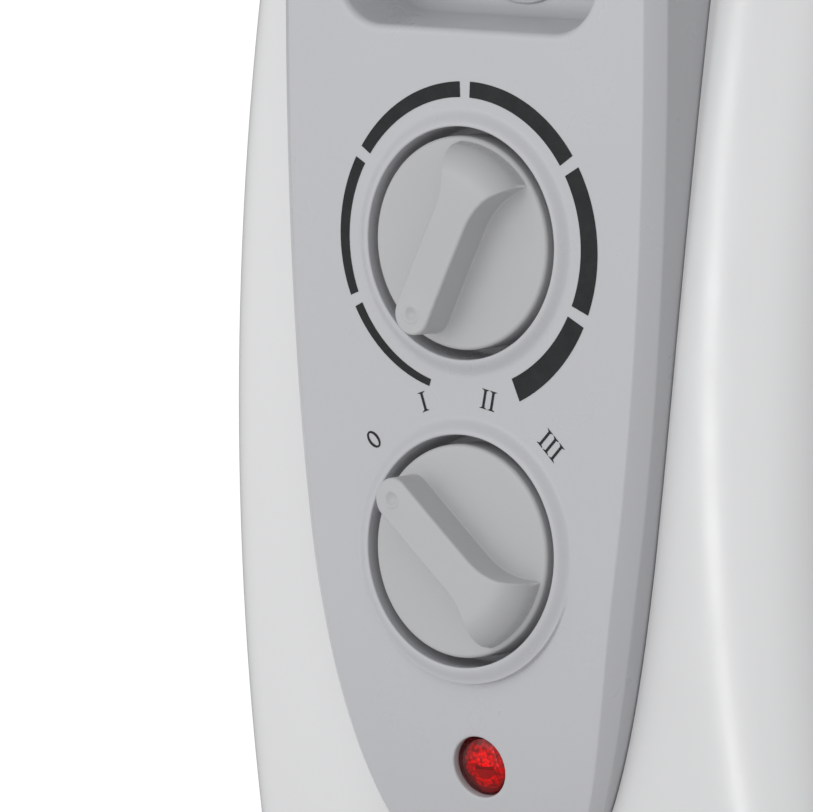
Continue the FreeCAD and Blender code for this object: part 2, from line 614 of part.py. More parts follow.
def element_flange():
    flange = cyl_y(FLANGE_R, FRONT_NECK_Y - FLANGE_T, FRONT_NECK_Y, 0, LOWER_HEADER_Z)
    holes = [cyl_y(ELEMENT_R, 80, 110, s * LEG_X, LOWER_HEADER_Z + dz)
             for s in (-1, 1) for dz in (-LEG_Z, LEG_Z)]
    return flange.cut(Part.Compound(holes))


def hexagon_y(r, y0, y1, x, z):
    turns = [math.radians(60 * i) for i in range(6)]
    points = [(x + r * math.cos(t), y0, z + r * math.sin(t)) for t in turns]
    return polygon(points).extrude(V(0, y1 - y0, 0))


def element_leads():
    """Three insulated leads from the elements up to the switch and the thermostat."""
    high, low = LOWER_HEADER_Z + LEG_Z, LOWER_HEADER_Z - LEG_Z
    routes = []
    for i, (x, z0, lane, end_z) in enumerate(((-LEG_X, high, -12.0, SELECTOR_Z - 26),
                                              (LEG_X, high, 12.0, SELECTOR_Z - 26),
                                              (-LEG_X, low, -20.0, THERMOSTAT_Z - 40))):
        rise_y = COLD_END_Y - 4 * (i + 1)
        routes.append([(x, COLD_END_Y, z0), (x, rise_y, z0), (lane, rise_y, z0 + 30),
                       (lane, rise_y - 8, end_z), (lane, 52, end_z + 30)])
    return [tube(route, LEAD_R, 3 * LEAD_R) for route in routes]


# ---- feet ----
def foot_profile(drop):
    """Upper line of a foot in the XZ plane, lowered by drop: level middle, sloping shoulders, level ends."""
    return [(-FOOT_HALF_X, FOOT_END_Z - drop), (-92, FOOT_END_Z - drop), (-66, FIN_LOW_Z - drop),
            (66, FIN_LOW_Z - drop), (92, FOOT_END_Z - drop), (FOOT_HALF_X, FOOT_END_Z - drop)]


def foot(y):
    def slab(drop, y0, y1):
        line = foot_profile(0) + foot_profile(drop)[::-1]
        return polygon([(x, y0, z) for x, z in line]).extrude(V(0, y1 - y0, 0))

    plate = slab(FOOT_T, y - FOOT_HALF_Y, y + FOOT_HALF_Y)
    flanges = [slab(FOOT_FLANGE, y - FOOT_HALF_Y, y - FOOT_HALF_Y + FOOT_T),
               slab(FOOT_FLANGE, y + FOOT_HALF_Y - FOOT_T, y + FOOT_HALF_Y)]
    holes = [cyl_z(U_BOLT_R + 0.3, 40, 90, s * U_BOLT_X, y) for s in (-1, 1)]
    holes += [cyl_z(STEM_R + 0.2, 40, 90, s * CASTER_X, y) for s in (-1, 1)]
    return plate.multiFuse(flanges).cut(Part.Compound(holes)).removeSplitter()


def u_bolt(y):
    arch = Part.makeTorus(U_BOLT_X, U_BOLT_R, V(0, y, LOWER_HEADER_Z), Y_AXIS, -180, 180, 360)
    arch = arch.common(box(-40, 40, y - 10, y + 10, LOWER_HEADER_Z, LOWER_HEADER_Z + 60))
    legs = [cyl_z(U_BOLT_R, 52, LOWER_HEADER_Z, s * U_BOLT_X, y) for s in (-1, 1)]
    return arch.multiFuse(legs)


def wing_nut(x, y):
    top = FIN_LOW_Z - FOOT_T
    hub = cyl_z(5.5, top - 7, top, x, y)
    wings = box(x - 1.2, x + 1.2, y - 13, y + 13, top - 14, top - 4)
    return hub.fuse(wings).cut(cyl_z(U_BOLT_R, 40, 90, x, y))


# ---- casters ----
def caster(x, y):
    """Twin-wheel caster that trails towards -Y: its stem, nut, hood, axle and wheels."""
    wy, wz = y - CASTER_TRAIL, WHEEL_R
    under = FOOT_END_Z - FOOT_T
    stem = cyl_z(STEM_R, STEM_LOW_Z, FOOT_END_Z + 8, x, y).fuse(cyl_z(6.5, HOOD_TOP_Z + 0.5, under, x, y))
    nut = cyl_z(7, FOOT_END_Z, FOOT_END_Z + 5, x, y).cut(cyl_z(STEM_R, 40, 90, x, y))
    return stem, nut, caster_hood(x, y, wy, wz), cyl_x(AXLE_R, x - wheel_end(), x + wheel_end(), wy, wz), [
        wheel(x, side, wy, wz) for side in (-1, 1)]


def wheel_end():
    return WHEEL_INNER_X + WHEEL_T


def caster_hood(x, y, wy, wz):
    """Fender over the wheels, a web between them and a post for the stem."""
    reach = 40.0
    room_r = WHEEL_R + WHEEL_ROOM
    fender_r = room_r + HOOD_T
    fender = cyl_x(fender_r, x - HOOD_HALF_W, x + HOOD_HALF_W, wy, wz)
    fender = fender.cut(cyl_x(room_r, x - reach, x + reach, wy, wz))
    fender = fender.cut(box(x - reach, x + reach, wy - reach, wy + reach, -reach, wz - 2))
    fender = fender.cut(box(x - reach, x + reach, wy - reach, wy - WHEEL_R * 0.75, -reach, reach * 2))
    web_half = WHEEL_INNER_X - 0.6
    web = cyl_x(fender_r - 1, x - web_half, x + web_half, wy, wz)
    web = web.cut(box(x - reach, x + reach, wy - reach, wy + reach, -reach, wz - 7))
    post = cyl_z(POST_R, POST_LOW_Z, HOOD_TOP_Z, x, y)
    room = [cyl_x(room_r, x + min(s * web_half, s * reach), x + max(s * web_half, s * reach), wy, wz)
            for s in (-1, 1)]
    bores = [cyl_x(AXLE_R + RUNNING, x - reach, x + reach, wy, wz),
             cyl_z(STEM_R + RUNNING, STEM_LOW_Z - 0.5, 90, x, y)]
    return fender.multiFuse([web, post]).cut(Part.Compound(room + bores))


def wheel(x, side, wy, wz):
    """Tread with rounded shoulders and a dished outer face."""
    x0 = x + side * WHEEL_INNER_X - (WHEEL_T if side < 0 else 0)
    disc = cyl_x(WHEEL_R, x0, x0 + WHEEL_T, wy, wz)
    disc = disc.makeFillet(1.6, [e for e in disc.Edges if e.Length > 100 and e.Closed])
    dish_x = x0 if side < 0 else x0 + WHEEL_T - 2
    dish = cyl_x(13, dish_x, dish_x + 2, wy, wz).cut(cyl_x(5, dish_x, dish_x + 2, wy, wz))
    return disc.cut(Part.Compound([dish, cyl_x(AXLE_R, x - 30, x + 30, wy, wz)]))


# ---- cord wrap and gland ----
def cord_wrap(housing_outer):
    """Oval spool on the lower front that the cord winds round, tilted with the housing."""
    (core_w, core_h, core_r), (lip_w, lip_h, lip_r) = WRAP_CORE, WRAP_LIP
    core = rounded_slab(core_w, -core_h, core_h, core_r, -WRAP_DEPTH, 30)
    lip = rounded_slab(lip_w, -lip_h, lip_h, lip_r, -WRAP_DEPTH - WRAP_LIP_T, -WRAP_DEPTH)
    spool = core.fuse(lip)
    spool.rotate(V(0, 0, 0), X_AXIS, -math.degrees(math.atan(BULGE_DROP / BULGE_R)))
    spool.translate(V(0, housing_front(WRAP_Z), WRAP_Z))
    return spool.cut(housing_outer).Solids[0]


def cord_gland():
    low, sill = HOUSING_BOTTOM_Z - 3, HOUSING_BOTTOM_Z + WALL
    x, y = GLAND_X, GLAND_Y
    shape = cyl_z(GLAND_R, HOUSING_BOTTOM_Z, sill + 8, x, y)
    shape = shape.fuse(cyl_z(GLAND_R + 2.5, low, HOUSING_BOTTOM_Z, x, y))
    shape = shape.fuse(cyl_z(GLAND_R + 2, sill, sill + 2.5, x, y))
    return shape.cut(cyl_z(GLAND_BORE_R, low - 1, sill + 12, x, y))


def pan_screw(x, y_head, z, r, length):
    """Head outside y_head, shank towards -Y."""
    head = cyl_y(SCREW_HEAD_R, y_head, y_head + SCREW_HEAD_T, x, z)
    return head.fuse(cyl_y(r, y_head - length, y_head, x, z))


def main():
    os.makedirs("parts", exist_ok=True)

    one_fin = fin()
    for i in range(FIN_COUNT):
        copy = one_fin.copy()
        copy.translate(V(0, FIRST_FIN_Y + FIN_PITCH * i, 0))
        save("fin_%d" % (i + 1), copy)
    save("upper_header_necks", *collars(UPPER_HEADER_Z, FRONT_NECK_Y))
    save("lower_header_necks", *collars(LOWER_HEADER_Z, FRONT_NECK_Y))
    end_y = LAST_FIN_Y + CHANNEL_H
    save("rear_end_plugs", *[cyl_y(COLLAR_R, end_y, end_y + PLUG_T, 0, z)
                             for z in (UPPER_HEADER_Z, LOWER_HEADER_Z)])
    stud = cyl_y(STUD_R, STUD_END_Y, FRONT_NECK_Y - PLUG_T, 0, UPPER_HEADER_Z)
    plug = cyl_y(COLLAR_R, FRONT_NECK_Y - PLUG_T, FRONT_NECK_Y, 0, UPPER_HEADER_Z)
    save("mounting_stud_plug", plug.fuse(stud))
    nut = hexagon_y(6, PLATE_Y - 5, PLATE_Y, 0, UPPER_HEADER_Z)
    save("mounting_nut", nut.cut(cyl_y(STUD_R, STUD_END_Y, PLATE_Y + 1, 0, UPPER_HEADER_Z)))
    save("element_flange", element_flange())
    save("heating_element_low", hairpin(-LEG_Z))
    save("heating_element_high", hairpin(LEG_Z))
    save("element_leads", *element_leads())

    housing_outer, housing = control_housing()
    save("control_housing", housing)
    save("control_panel", control_panel())
    save("back_plate", back_plate())
    save("dial_scale", *dial_scale())
    save("selector_numerals", *selector_numerals())
    for name, z, angle in (("thermostat", THERMOSTAT_Z, THERMOSTAT_ANGLE),
                           ("selector", SELECTOR_Z, SELECTOR_ANGLE)):
        save(name + "_knob", knob(z, angle))
        save(name + "_spindle", turned(flatted_shaft(), z, angle))
    body, strip = thermostat()
    save("thermostat_body", body)
    save("thermostat_bimetal", strip)
    body, tabs = selector_switch()
    save("selector_switch_body", body)
    save("selector_switch_tabs", *tabs)
    lens, bulb, holder = pilot_lamp()
    save("pilot_lens", lens)
    save("pilot_bulb", bulb)
    save("pilot_holder", holder)
    badge_z = POCKET_LOW_Z + POCKET_H / 2
    save("pocket_badge", cyl_y(BADGE_R, POCKET_DEPTH - BADGE_T, POCKET_DEPTH, 0, badge_z))
    x, z, y = CUTOUT_X, CUTOUT_Z, PLATE_Y - 10
    save("thermal_cutout", cyl_y(CUTOUT_R, y, PLATE_Y, x, z).fuse(box(x - 4, x + 4, y - 4, y, z - 4, z + 4)))
    save("terminal_block", box(-TERMINAL_HALF_W, TERMINAL_HALF_W, PLATE_Y - 13, PLATE_Y, *TERMINAL_Z))
    save("housing_screws", *[pan_screw(x, PLATE_BACK_Y, z, BACK_SCREW_R, 14) for x, z in BACK_SCREWS])
    save("panel_screws", *[pan_screw(x, LUG_Y1, z, PANEL_SCREW_R, 9) for x, z in lug_places()])
    save("cord_wrap", cord_wrap(housing_outer))
    save("cord_gland", cord_gland())

    save("front_foot", foot(FOOT_Y[0]))
    save("rear_foot", foot(FOOT_Y[1]))
    save("foot_u_bolts", *[u_bolt(y) for y in FOOT_Y])
    save("foot_wing_nuts", *[wing_nut(s * U_BOLT_X, y) for y in FOOT_Y for s in (-1, 1)])
    stems, nuts = [], []
    for name, sx, y in (("front_left", -1, FOOT_Y[0]), ("front_right", 1, FOOT_Y[0]),
                        ("rear_left", -1, FOOT_Y[1]), ("rear_right", 1, FOOT_Y[1])):
        stem, nut, hood, axle, wheels = caster(sx * CASTER_X, y)
        stems.append(stem)
        nuts.append(nut)
        save("caster_hood_" + name, hood)
        save("caster_axle_" + name, axle)
        save("caster_wheels_" + name, *wheels)
    save("caster_stems", *stems)
    save("caster_nuts", *nuts)
    print("y shift", Y_SHIFT)


main()
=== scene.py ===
"""Looks of the oil filled radiator heater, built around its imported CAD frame.

Lengths are in millimetres until mesh_object() turns them into metres; materials, lights and the
camera are in metres. The panel's flat face is the plane y = PANEL_Y, and depth counts from it
towards the fins.
"""

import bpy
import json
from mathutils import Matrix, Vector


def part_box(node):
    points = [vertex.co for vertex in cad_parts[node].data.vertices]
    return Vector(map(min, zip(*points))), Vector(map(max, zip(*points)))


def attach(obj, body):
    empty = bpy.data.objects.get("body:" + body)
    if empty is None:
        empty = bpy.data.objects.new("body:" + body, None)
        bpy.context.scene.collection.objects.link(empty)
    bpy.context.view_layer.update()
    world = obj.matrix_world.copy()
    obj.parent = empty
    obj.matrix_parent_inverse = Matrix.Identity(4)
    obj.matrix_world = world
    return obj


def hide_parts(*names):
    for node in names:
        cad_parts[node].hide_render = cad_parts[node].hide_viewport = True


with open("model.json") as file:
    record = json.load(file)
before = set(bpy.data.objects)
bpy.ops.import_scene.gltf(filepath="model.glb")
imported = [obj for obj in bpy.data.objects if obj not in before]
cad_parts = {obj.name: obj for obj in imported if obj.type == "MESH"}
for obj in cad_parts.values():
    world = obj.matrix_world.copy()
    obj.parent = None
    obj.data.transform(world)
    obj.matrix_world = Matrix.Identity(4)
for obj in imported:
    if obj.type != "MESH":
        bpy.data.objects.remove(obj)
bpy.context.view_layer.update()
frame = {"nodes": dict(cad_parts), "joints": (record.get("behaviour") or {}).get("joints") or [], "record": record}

import json
import math

import bmesh
import bpy
import numpy as np
from mathutils import Vector
from mathutils.geometry import delaunay_2d_cdt

MM = 0.001
joints = {j["name"]: j for j in frame["joints"]}
PANEL_Y = joints["thermostat_turn"]["pos_m"][1] / MM
THERMOSTAT_Z = joints["thermostat_turn"]["pos_m"][2] / MM
SELECTOR_Z = joints["selector_turn"]["pos_m"][2] / MM

# ---- control housing ----
APEX_Z = THERMOSTAT_Z - 39.8      # height where the front bulges furthest
TOP_Z, BOTTOM_Z, BACK_Y = 612.0, 92.0, 95.0
HOUSING_HALF_W, HOUSING_CORNER_R = 80.0, 17.0
HOUSING_DEPTH = 3.7
BULGE_R, BULGE_DROP, CROWN_R = 500.0, 85.0, 227.0
TOP_ROLL, BOTTOM_ROLL = 22.0, 12.0
HOUSING_WALL = 2.5
GLAND_HOLE_R, GLAND_HOLE_HALF_H = 7.6, 12.0

# ---- control panel ----
PANEL_HALF_W = 51.0
PANEL_REF_Z = APEX_Z + 90.5       # the outline narrows below this height
PANEL_TIP_DROP = 192.0
PANEL_LOW_R, PANEL_TOP_R = 222.0, 47.0
PANEL_FLAT_TOP = TOP_Z - PANEL_TOP_R
PANEL_EDGE, TIP_EDGE, BACK_EDGE = 4.2, 2.2, 1.0    # bevel at the sides, the tip and the back
TIP_BLEND, BACK_BLEND = 70.0, 16.0                 # lengths over which the bevel changes
PANEL_SKIRT, TIP_SKIRT, SKIRT_SLOPE = 28.0, 10.0, 0.15
TOP_EXTRA, EXTRA_FROM_V, EXTRA_BLEND = 9.0, 490.0, 50.0
PANEL_WALL = 2.4
SEAM = 0.35                       # gap between panel and housing
CUTTER_FRONT, CUTTER_MIN_DEPTH, CUTTER_EXTRA = 6.0, 24.0, 4.0
SPINDLE_HOLE_R = 3.4
RING_FOOT_R, RING_CREST_R, WELL_R, WELL_DEPTH = 28.6, 25.1, 24.75, 9.0
RING_H, RING_LIP_R = 1.6, 0.35
LAMP_Z = SELECTOR_Z - 46.6
LENS_R, LENS_BACK = 6.75, -4.4
GLOW_R, GLOW_CENTRE = 6.0, -2.7   # the glow fades out at GLOW_R from its centre
CORE_R, CORE_FRONT, CORE_DOME = 5.1, -2.62, 0.012
POCKET_HALF_W, POCKET_H, POCKET_DEPTH = 34.0, 42.0, 21.0
POCKET_LOW_Z = THERMOSTAT_Z + 45.4
POCKET_CORNER_R, POCKET_LIP_R, POCKET_FLOOR_R = 11.0, 1.6, 4.0
BADGE_R, BADGE_DROP = 14.0, 3.0

# ---- knobs ----
KNOB_R, KNOB_FACE, KNOB_BACK = 22.75, 1.3, -6.0    # heights above the panel
KNOB_EDGE_R, KNOB_DOME = 0.9, 0.3
KNOB_WALL, KNOB_INSIDE = 2.0, -1.5
HUB_R, HUB_BORE_R, HUB_BACK = 5.5, 3.2, -8.0
POINTERS = {"thermostat": -154.0, "selector": -48.5}
GRIP_H, GRIP_HALF_W, GRIP_TIP = 7.8, 4.5, 16.6
GRIP_TAIL_R, GRIP_TAIL_HALF_W, FLARE_FROM = 21.7, 10.0, -6.0
GRIP_TOP_R, GRIP_FOOT_R, GRIP_DRAFT = 0.6, 0.35, 0.1
SLOPE_FROM_R = 14.8               # the bar's top rounds down to the rim from here
DIMPLE_R = 1.7

# ---- print ----
PRINT_LIFT = 0.1
SCALE_R, SCALE_START, SCALE_END = 30.85, -163.0, 156.0
SCALE_GAPS = (-115.0, -57.5, 0.0, 57.5, 115.0)
SCALE_GAP_W = 2.5
SCALE_THIN, SCALE_THICK = 1.05, 1.167
NUMERAL_R, NUMERAL_H = 33.0, 4.2
NUMERAL_ANGLES = (-47.5, -19.5, 11.0, 44.0)
NUMERAL_PITCH, BAR_HALF_W, BAR_INSET = 2.15, 0.3, 0.35
SERIF_HALF_W, SERIF_H = 1.0, 0.36
ZERO_HALF_W, ZERO_HOLE_HALF_W, ZERO_STROKE = 1.35, 0.78, 0.42

# ---- fins ----
FIN_COUNT = 9
FIN_HALF_W, FIN_CORNER_R = 75.0, 36.0
FIN_SHEET, FIN_HEM, FIN_HEM_W, FIN_BULGE = 0.8, 2.0, 3.5, 5.5
CHANNEL_X, CHANNEL_HALF_W, CHANNEL_CORNER_R = (-40.0, 0.0, 40.0), 12.0, 9.0
HEADER_HALF_W, HEADER_HALF_H, HEADER_CORNER_R = 56.0, 24.0, 20.0
HEADER_ABOVE, HEADER_BELOW = 55.0, 60.0    # from the fin's bottom and top to the header centres
PRESSED_BLEND = 3.0


# ======================= mesh helpers =======================
def mesh_object(name, verts, faces, material, smooth=35.0):
    """Makes a mesh from points in millimetres, smooth shaded except at edges sharper than smooth."""
    mesh = bpy.data.meshes.new(name)
    points = np.asarray(verts, float) * MM
    mesh.from_pydata(points.tolist(), [], [tuple(int(i) for i in f) for f in faces])
    obj = bpy.data.objects.new(name, mesh)
    bpy.context.scene.collection.objects.link(obj)
    tidy_mesh(mesh, smooth)
    mesh.materials.append(material)
    return obj


def tidy_mesh(mesh, smooth):
    bm = bmesh.new()
    bm.from_mesh(mesh)
    bmesh.ops.remove_doubles(bm, verts=bm.verts, dist=2e-6)
    bmesh.ops.dissolve_degenerate(bm, edges=bm.edges, dist=1e-7)
    bmesh.ops.recalc_face_normals(bm, faces=bm.faces)
    bm.to_mesh(mesh)
    bm.free()
    mesh.shade_smooth()
    mesh.set_sharp_from_angle(angle=math.radians(smooth))


def place(obj, body, slot, *nodes):
    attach(obj, body)
    if nodes:
        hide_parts(*nodes)
    return obj


def grid_faces(rows, cols, start=0, closed=False):
    """Quads of a grid of points stored row by row; closed joins the last column to the first."""
    faces = []
    for r in range(rows - 1):
        for c in range(cols if closed else cols - 1):
            n = (c + 1) % cols
            a, b = start + r * cols, start + (r + 1) * cols
            faces.append((a + c, a + n, b + n, b + c))
    return faces


def join(patches):
    verts, faces = [], []
    for patch_verts, patch_faces in patches:
        faces += [tuple(i + len(verts) for i in f) for f in patch_faces]
        verts += list(patch_verts)
    return verts, faces


def applied(obj):
    """Turns the modifiers' result into the object's own mesh."""
    graph = bpy.context.evaluated_depsgraph_get()
    obj.data = bpy.data.meshes.new_from_object(obj.evaluated_get(graph))
    obj.modifiers.clear()
    return obj


def cut_away(obj, cutter):
    tool = obj.modifiers.new("cut", "BOOLEAN")
    tool.operation = "DIFFERENCE"
    tool.solver = "EXACT"
    tool.object = cutter
    applied(obj)
    bpy.data.objects.remove(cutter)


def smoothstep(t):
    t = np.clip(t, 0.0, 1.0)
    return t * t * (3 - 2 * t)


def soft_min(a, b, k):
    h = np.clip(0.5 + 0.5 * (b - a) / k, 0.0, 1.0)
    return b + (a - b) * h - k * h * (1 - h)


def rounded_box_distance(x, z, half_w, half_h, r):
    """Distance to a rounded rectangle about the origin, negative inside."""
    qx, qz = np.abs(x) - (half_w - r), np.abs(z) - (half_h - r)
    outside = np.hypot(np.maximum(qx, 0), np.maximum(qz, 0))
    return outside + np.minimum(np.maximum(qx, qz), 0) - r


# ======================= materials =======================
def material(name, color, roughness, metallic=0.0, coat=0.0):
    """Principled material with constant values."""
    mat = bpy.data.materials.new(name)
    mat.use_nodes = True
    shader = mat.node_tree.nodes["Principled BSDF"]
    shader.inputs["Base Color"].default_value = (*color, 1)
    shader.inputs["Roughness"].default_value = roughness
    shader.inputs["Metallic"].default_value = metallic
    shader.inputs["Coat Weight"].default_value = coat
    shader.inputs["Coat Roughness"].default_value = 0.08
    return mat


def noise(tree, scale, detail=2.0, stretch=(1, 1, 1)):
    coords = tree.nodes.new("ShaderNodeTexCoord")
    mapping = tree.nodes.new("ShaderNodeMapping")
    mapping.inputs["Scale"].default_value = stretch
    texture = tree.nodes.new("ShaderNodeTexNoise")
    texture.inputs["Scale"].default_value = scale
    texture.inputs["Detail"].default_value = detail
    tree.links.new(coords.outputs["Object"], mapping.inputs["Vector"])
    tree.links.new(mapping.outputs["Vector"], texture.inputs["Vector"])
    return texture.outputs["Fac"]


def ramp(tree, source, low, high, start=0.35, end=0.65):
    node = tree.nodes.new("ShaderNodeValToRGB")
    node.color_ramp.elements[0].position = start
    node.color_ramp.elements[1].position = end
    node.color_ramp.elements[0].color = (*low, 1)
    node.color_ramp.elements[1].color = (*high, 1)
    tree.links.new(source, node.inputs["Fac"])
    return node.outputs["Color"]


def vary(mat, color, spread, roughness, rough_spread, scale, stretch=(1, 1, 1)):
    """Slow variation of colour and gloss over the surface."""
    tree = mat.node_tree
    shader = tree.nodes["Principled BSDF"]
    field = noise(tree, scale, 3.0, stretch)
    low = [c * (1 - spread) for c in color]
    high = [min(c * (1 + spread), 1.0) for c in color]
    tree.links.new(ramp(tree, field, low, high), shader.inputs["Base Color"])
    fine = noise(tree, scale * 5, 3.0, stretch)
    gray = ramp(tree, fine, [roughness - rough_spread] * 3, [roughness + rough_spread] * 3)
    tree.links.new(gray, shader.inputs["Roughness"])


def bump(mat, scale, strength, distance, detail=2.0, stretch=(1, 1, 1)):
    tree = mat.node_tree
    node = tree.nodes.new("ShaderNodeBump")
    node.inputs["Strength"].default_value = strength
    node.inputs["Distance"].default_value = distance
    tree.links.new(noise(tree, scale, detail, stretch), node.inputs["Height"])
    shader = tree.nodes["Principled BSDF"]
    tree.links.new(node.outputs["Normal"], shader.inputs["Normal"])


def finish(name, color, roughness, spread=0.02, rough_spread=0.03, vary_scale=14.0,
           grain=900.0, grain_strength=0.05, grain_depth=0.0004, metallic=0.0, coat=0.0,
           stretch=(1, 1, 1)):
    mat = material(name, color, roughness, metallic, coat)
    vary(mat, color, spread, roughness, rough_spread, vary_scale, stretch)
    bump(mat, grain, grain_strength, grain_depth, stretch=stretch)
    return mat


def lens_material():
    """Deep red clear plastic with little gloss."""
    mat = material("lens_red", (0.4, 0.0, 0.003), 0.1)
    shader = mat.node_tree.nodes["Principled BSDF"]
    shader.inputs["Transmission Weight"].default_value = 0.93
    shader.inputs["IOR"].default_value = 1.35
    shader.inputs["Specular IOR Level"].default_value = 0.15
    vary(mat, (0.5, 0.002, 0.004), 0.12, 0.08, 0.03, 420.0)
    bump(mat, 700.0, 0.1, 0.0002)
    return mat


def glow_material():
    """Dimpled reflector lit red by the neon bulb."""
    mat = material("lamp_glow", (0.5, 0.005, 0.005), 0.5)
    tree = mat.node_tree
    shader = tree.nodes["Principled BSDF"]
    cells = tree.nodes.new("ShaderNodeTexVoronoi")
    cells.inputs["Scale"].default_value = 1300.0
    coords = tree.nodes.new("ShaderNodeTexCoord")
    tree.links.new(coords.outputs["Object"], cells.inputs["Vector"])
    shade = ramp(tree, cells.outputs["Distance"], (1.0, 0.012, 0.015), (0.2, 0.0, 0.0), 0.1, 0.75)
    tree.links.new(shade, shader.inputs["Base Color"])
    tree.links.new(shade, shader.inputs["Emission Color"])
    spread = tree.nodes.new("ShaderNodeMapping")
    spread.inputs["Scale"].default_value = [1 / (GLOW_R * MM)] * 3
    centre = bent(0, sheet_height(LAMP_Z), GLOW_CENTRE)
    spread.inputs["Location"].default_value = [-c / GLOW_R for c in centre]
    tree.links.new(coords.outputs["Object"], spread.inputs["Vector"])
    fade = tree.nodes.new("ShaderNodeTexGradient")
    fade.gradient_type = "SPHERICAL"
    tree.links.new(spread.outputs["Vector"], fade.inputs["Vector"])
    level = tree.nodes.new("ShaderNodeMath")
    level.operation = "MULTIPLY"
    level.inputs[1].default_value = 3.4
    tree.links.new(fade.outputs["Fac"], level.inputs[0])
    tree.links.new(level.outputs["Value"], shader.inputs["Emission Strength"])
    return mat


MATERIALS = {
    "housing": finish("housing_white", (0.735, 0.74, 0.745), 0.13, 0.008, 0.02, 9.0, 260.0, 0.02,
                      0.0002, coat=0.25),
    "panel": finish("panel_grey", (0.50, 0.505, 0.525), 0.3, 0.012, 0.03, 12.0, 1500.0, 0.08, 0.0002),
    "knob": finish("knob_grey", (0.46, 0.465, 0.475), 0.4, 0.012, 0.03, 30.0, 1500.0, 0.08, 0.0002),
    "print": finish("print_black", (0.014, 0.016, 0.017), 0.6, 0.15, 0.05, 250.0, 2500.0, 0.1, 0.0001),
    "badge": finish("badge_grey", (0.48, 0.485, 0.5), 0.36, 0.015, 0.03, 40.0, 1200.0, 0.08, 0.0002),
    "enamel": finish("enamel_white", (0.80, 0.80, 0.785), 0.28, 0.012, 0.04, 8.0, 420.0, 0.06, 0.0005,
                     coat=0.2),
    "zinc": finish("zinc_steel", (0.62, 0.62, 0.61), 0.34, 0.12, 0.08, 60.0, 700.0, 0.12, 0.0003,
                   metallic=1.0),
    "element": finish("element_steel", (0.4, 0.39, 0.38), 0.5, 0.15, 0.08, 60.0, 700.0, 0.12, 0.0003,
                      metallic=1.0),
    "brass": finish("brass", (0.72, 0.55, 0.25), 0.3, 0.1, 0.06, 80.0, 800.0, 0.1, 0.0002, metallic=1.0),
    "switch_plastic": finish("black_thermoset", (0.07, 0.07, 0.075), 0.5, 0.15, 0.05, 60.0),
    "ceramic": finish("ceramic", (0.8, 0.78, 0.73), 0.7, 0.05, 0.05, 60.0, 600.0, 0.2, 0.0004),
    "lead": finish("silicone", (0.7, 0.67, 0.6), 0.6, 0.05, 0.05, 60.0),
    "trim_plastic": finish("trim_dark", (0.12, 0.12, 0.13), 0.45, 0.08, 0.05, 60.0),
    "wrap": finish("wrap_grey", (0.50, 0.505, 0.525), 0.42, 0.012, 0.03, 12.0, 1500.0, 0.08, 0.0002),
    "caster": finish("caster_nylon", (0.06, 0.06, 0.063), 0.42, 0.12, 0.06, 50.0, 900.0, 0.15, 0.0004),
    "tread": finish("tread_black", (0.035, 0.035, 0.036), 0.62, 0.2, 0.08, 70.0, 700.0, 0.3, 0.0005),
    "lamp_holder": finish("nylon_white", (0.75, 0.75, 0.72), 0.5, 0.04, 0.05, 60.0),
    "bulb": finish("neon_bulb", (0.9, 0.35, 0.2), 0.1, 0.05, 0.03, 90.0),
    "lens": lens_material(),
}
MATERIALS["print"].node_tree.nodes["Principled BSDF"].inputs["Specular IOR Level"].default_value = 0.25


# ======================= control housing =======================
def housing_front(z):
    s = z - APEX_Z
    if s > -BULGE_DROP:
        return HOUSING_DEPTH + s * s / (2 * BULGE_R)
    start = HOUSING_DEPTH + BULGE_DROP ** 2 / (2 * BULGE_R)
    return start + (-s - BULGE_DROP) * BULGE_DROP / BULGE_R


def housing_section(z, inset):
    """Points of one level, from the back left corner round the front to the back right corner."""
    half_w = HOUSING_HALF_W - inset
    front = housing_front(z) + inset
    corner_x = half_w - HOUSING_CORNER_R
    crown_y = front + CROWN_R
    corner_y = crown_y - math.sqrt((CROWN_R - HOUSING_CORNER_R) ** 2 - corner_x ** 2)
    lean = math.atan2(corner_x, crown_y - corner_y)
    crown = [(CROWN_R * math.sin(a), crown_y - CROWN_R * math.cos(a)) for a in np.linspace(0, lean, 22)]
    corner = [(corner_x + HOUSING_CORNER_R * math.sin(a), corner_y - HOUSING_CORNER_R * math.cos(a))
              for a in np.linspace(lean, math.pi / 2, 15)[1:]]
    side = [(half_w, y) for y in np.linspace(corner_y, BACK_Y, 6)[1:]]
    right = crown + corner + side
    left = [(-x, y) for x, y in reversed(right[1:])]
    return [(x, PANEL_Y + y, z) for x, y in left + right]


def housing_levels():
    """(height, inset) of every level; the top and the bottom roll over in quarter circles."""
    turns = np.radians(np.linspace(90, 0, 13))
    low = [(BOTTOM_Z + BOTTOM_ROLL * (1 - math.sin(a)), BOTTOM_ROLL * (1 - math.cos(a))) for a in turns]
    high = [(TOP_Z - TOP_ROLL * (1 - math.sin(a)), TOP_ROLL * (1 - math.cos(a))) for a in turns[::-1]]
    middle = [(z, 0.0) for z in np.linspace(BOTTOM_Z + BOTTOM_ROLL, TOP_Z - TOP_ROLL, 72)[1:-1]]
    guard = 0.6
    return [(BOTTOM_Z, BOTTOM_ROLL + guard)] + low + middle + high + [(TOP_Z, TOP_ROLL + guard)]


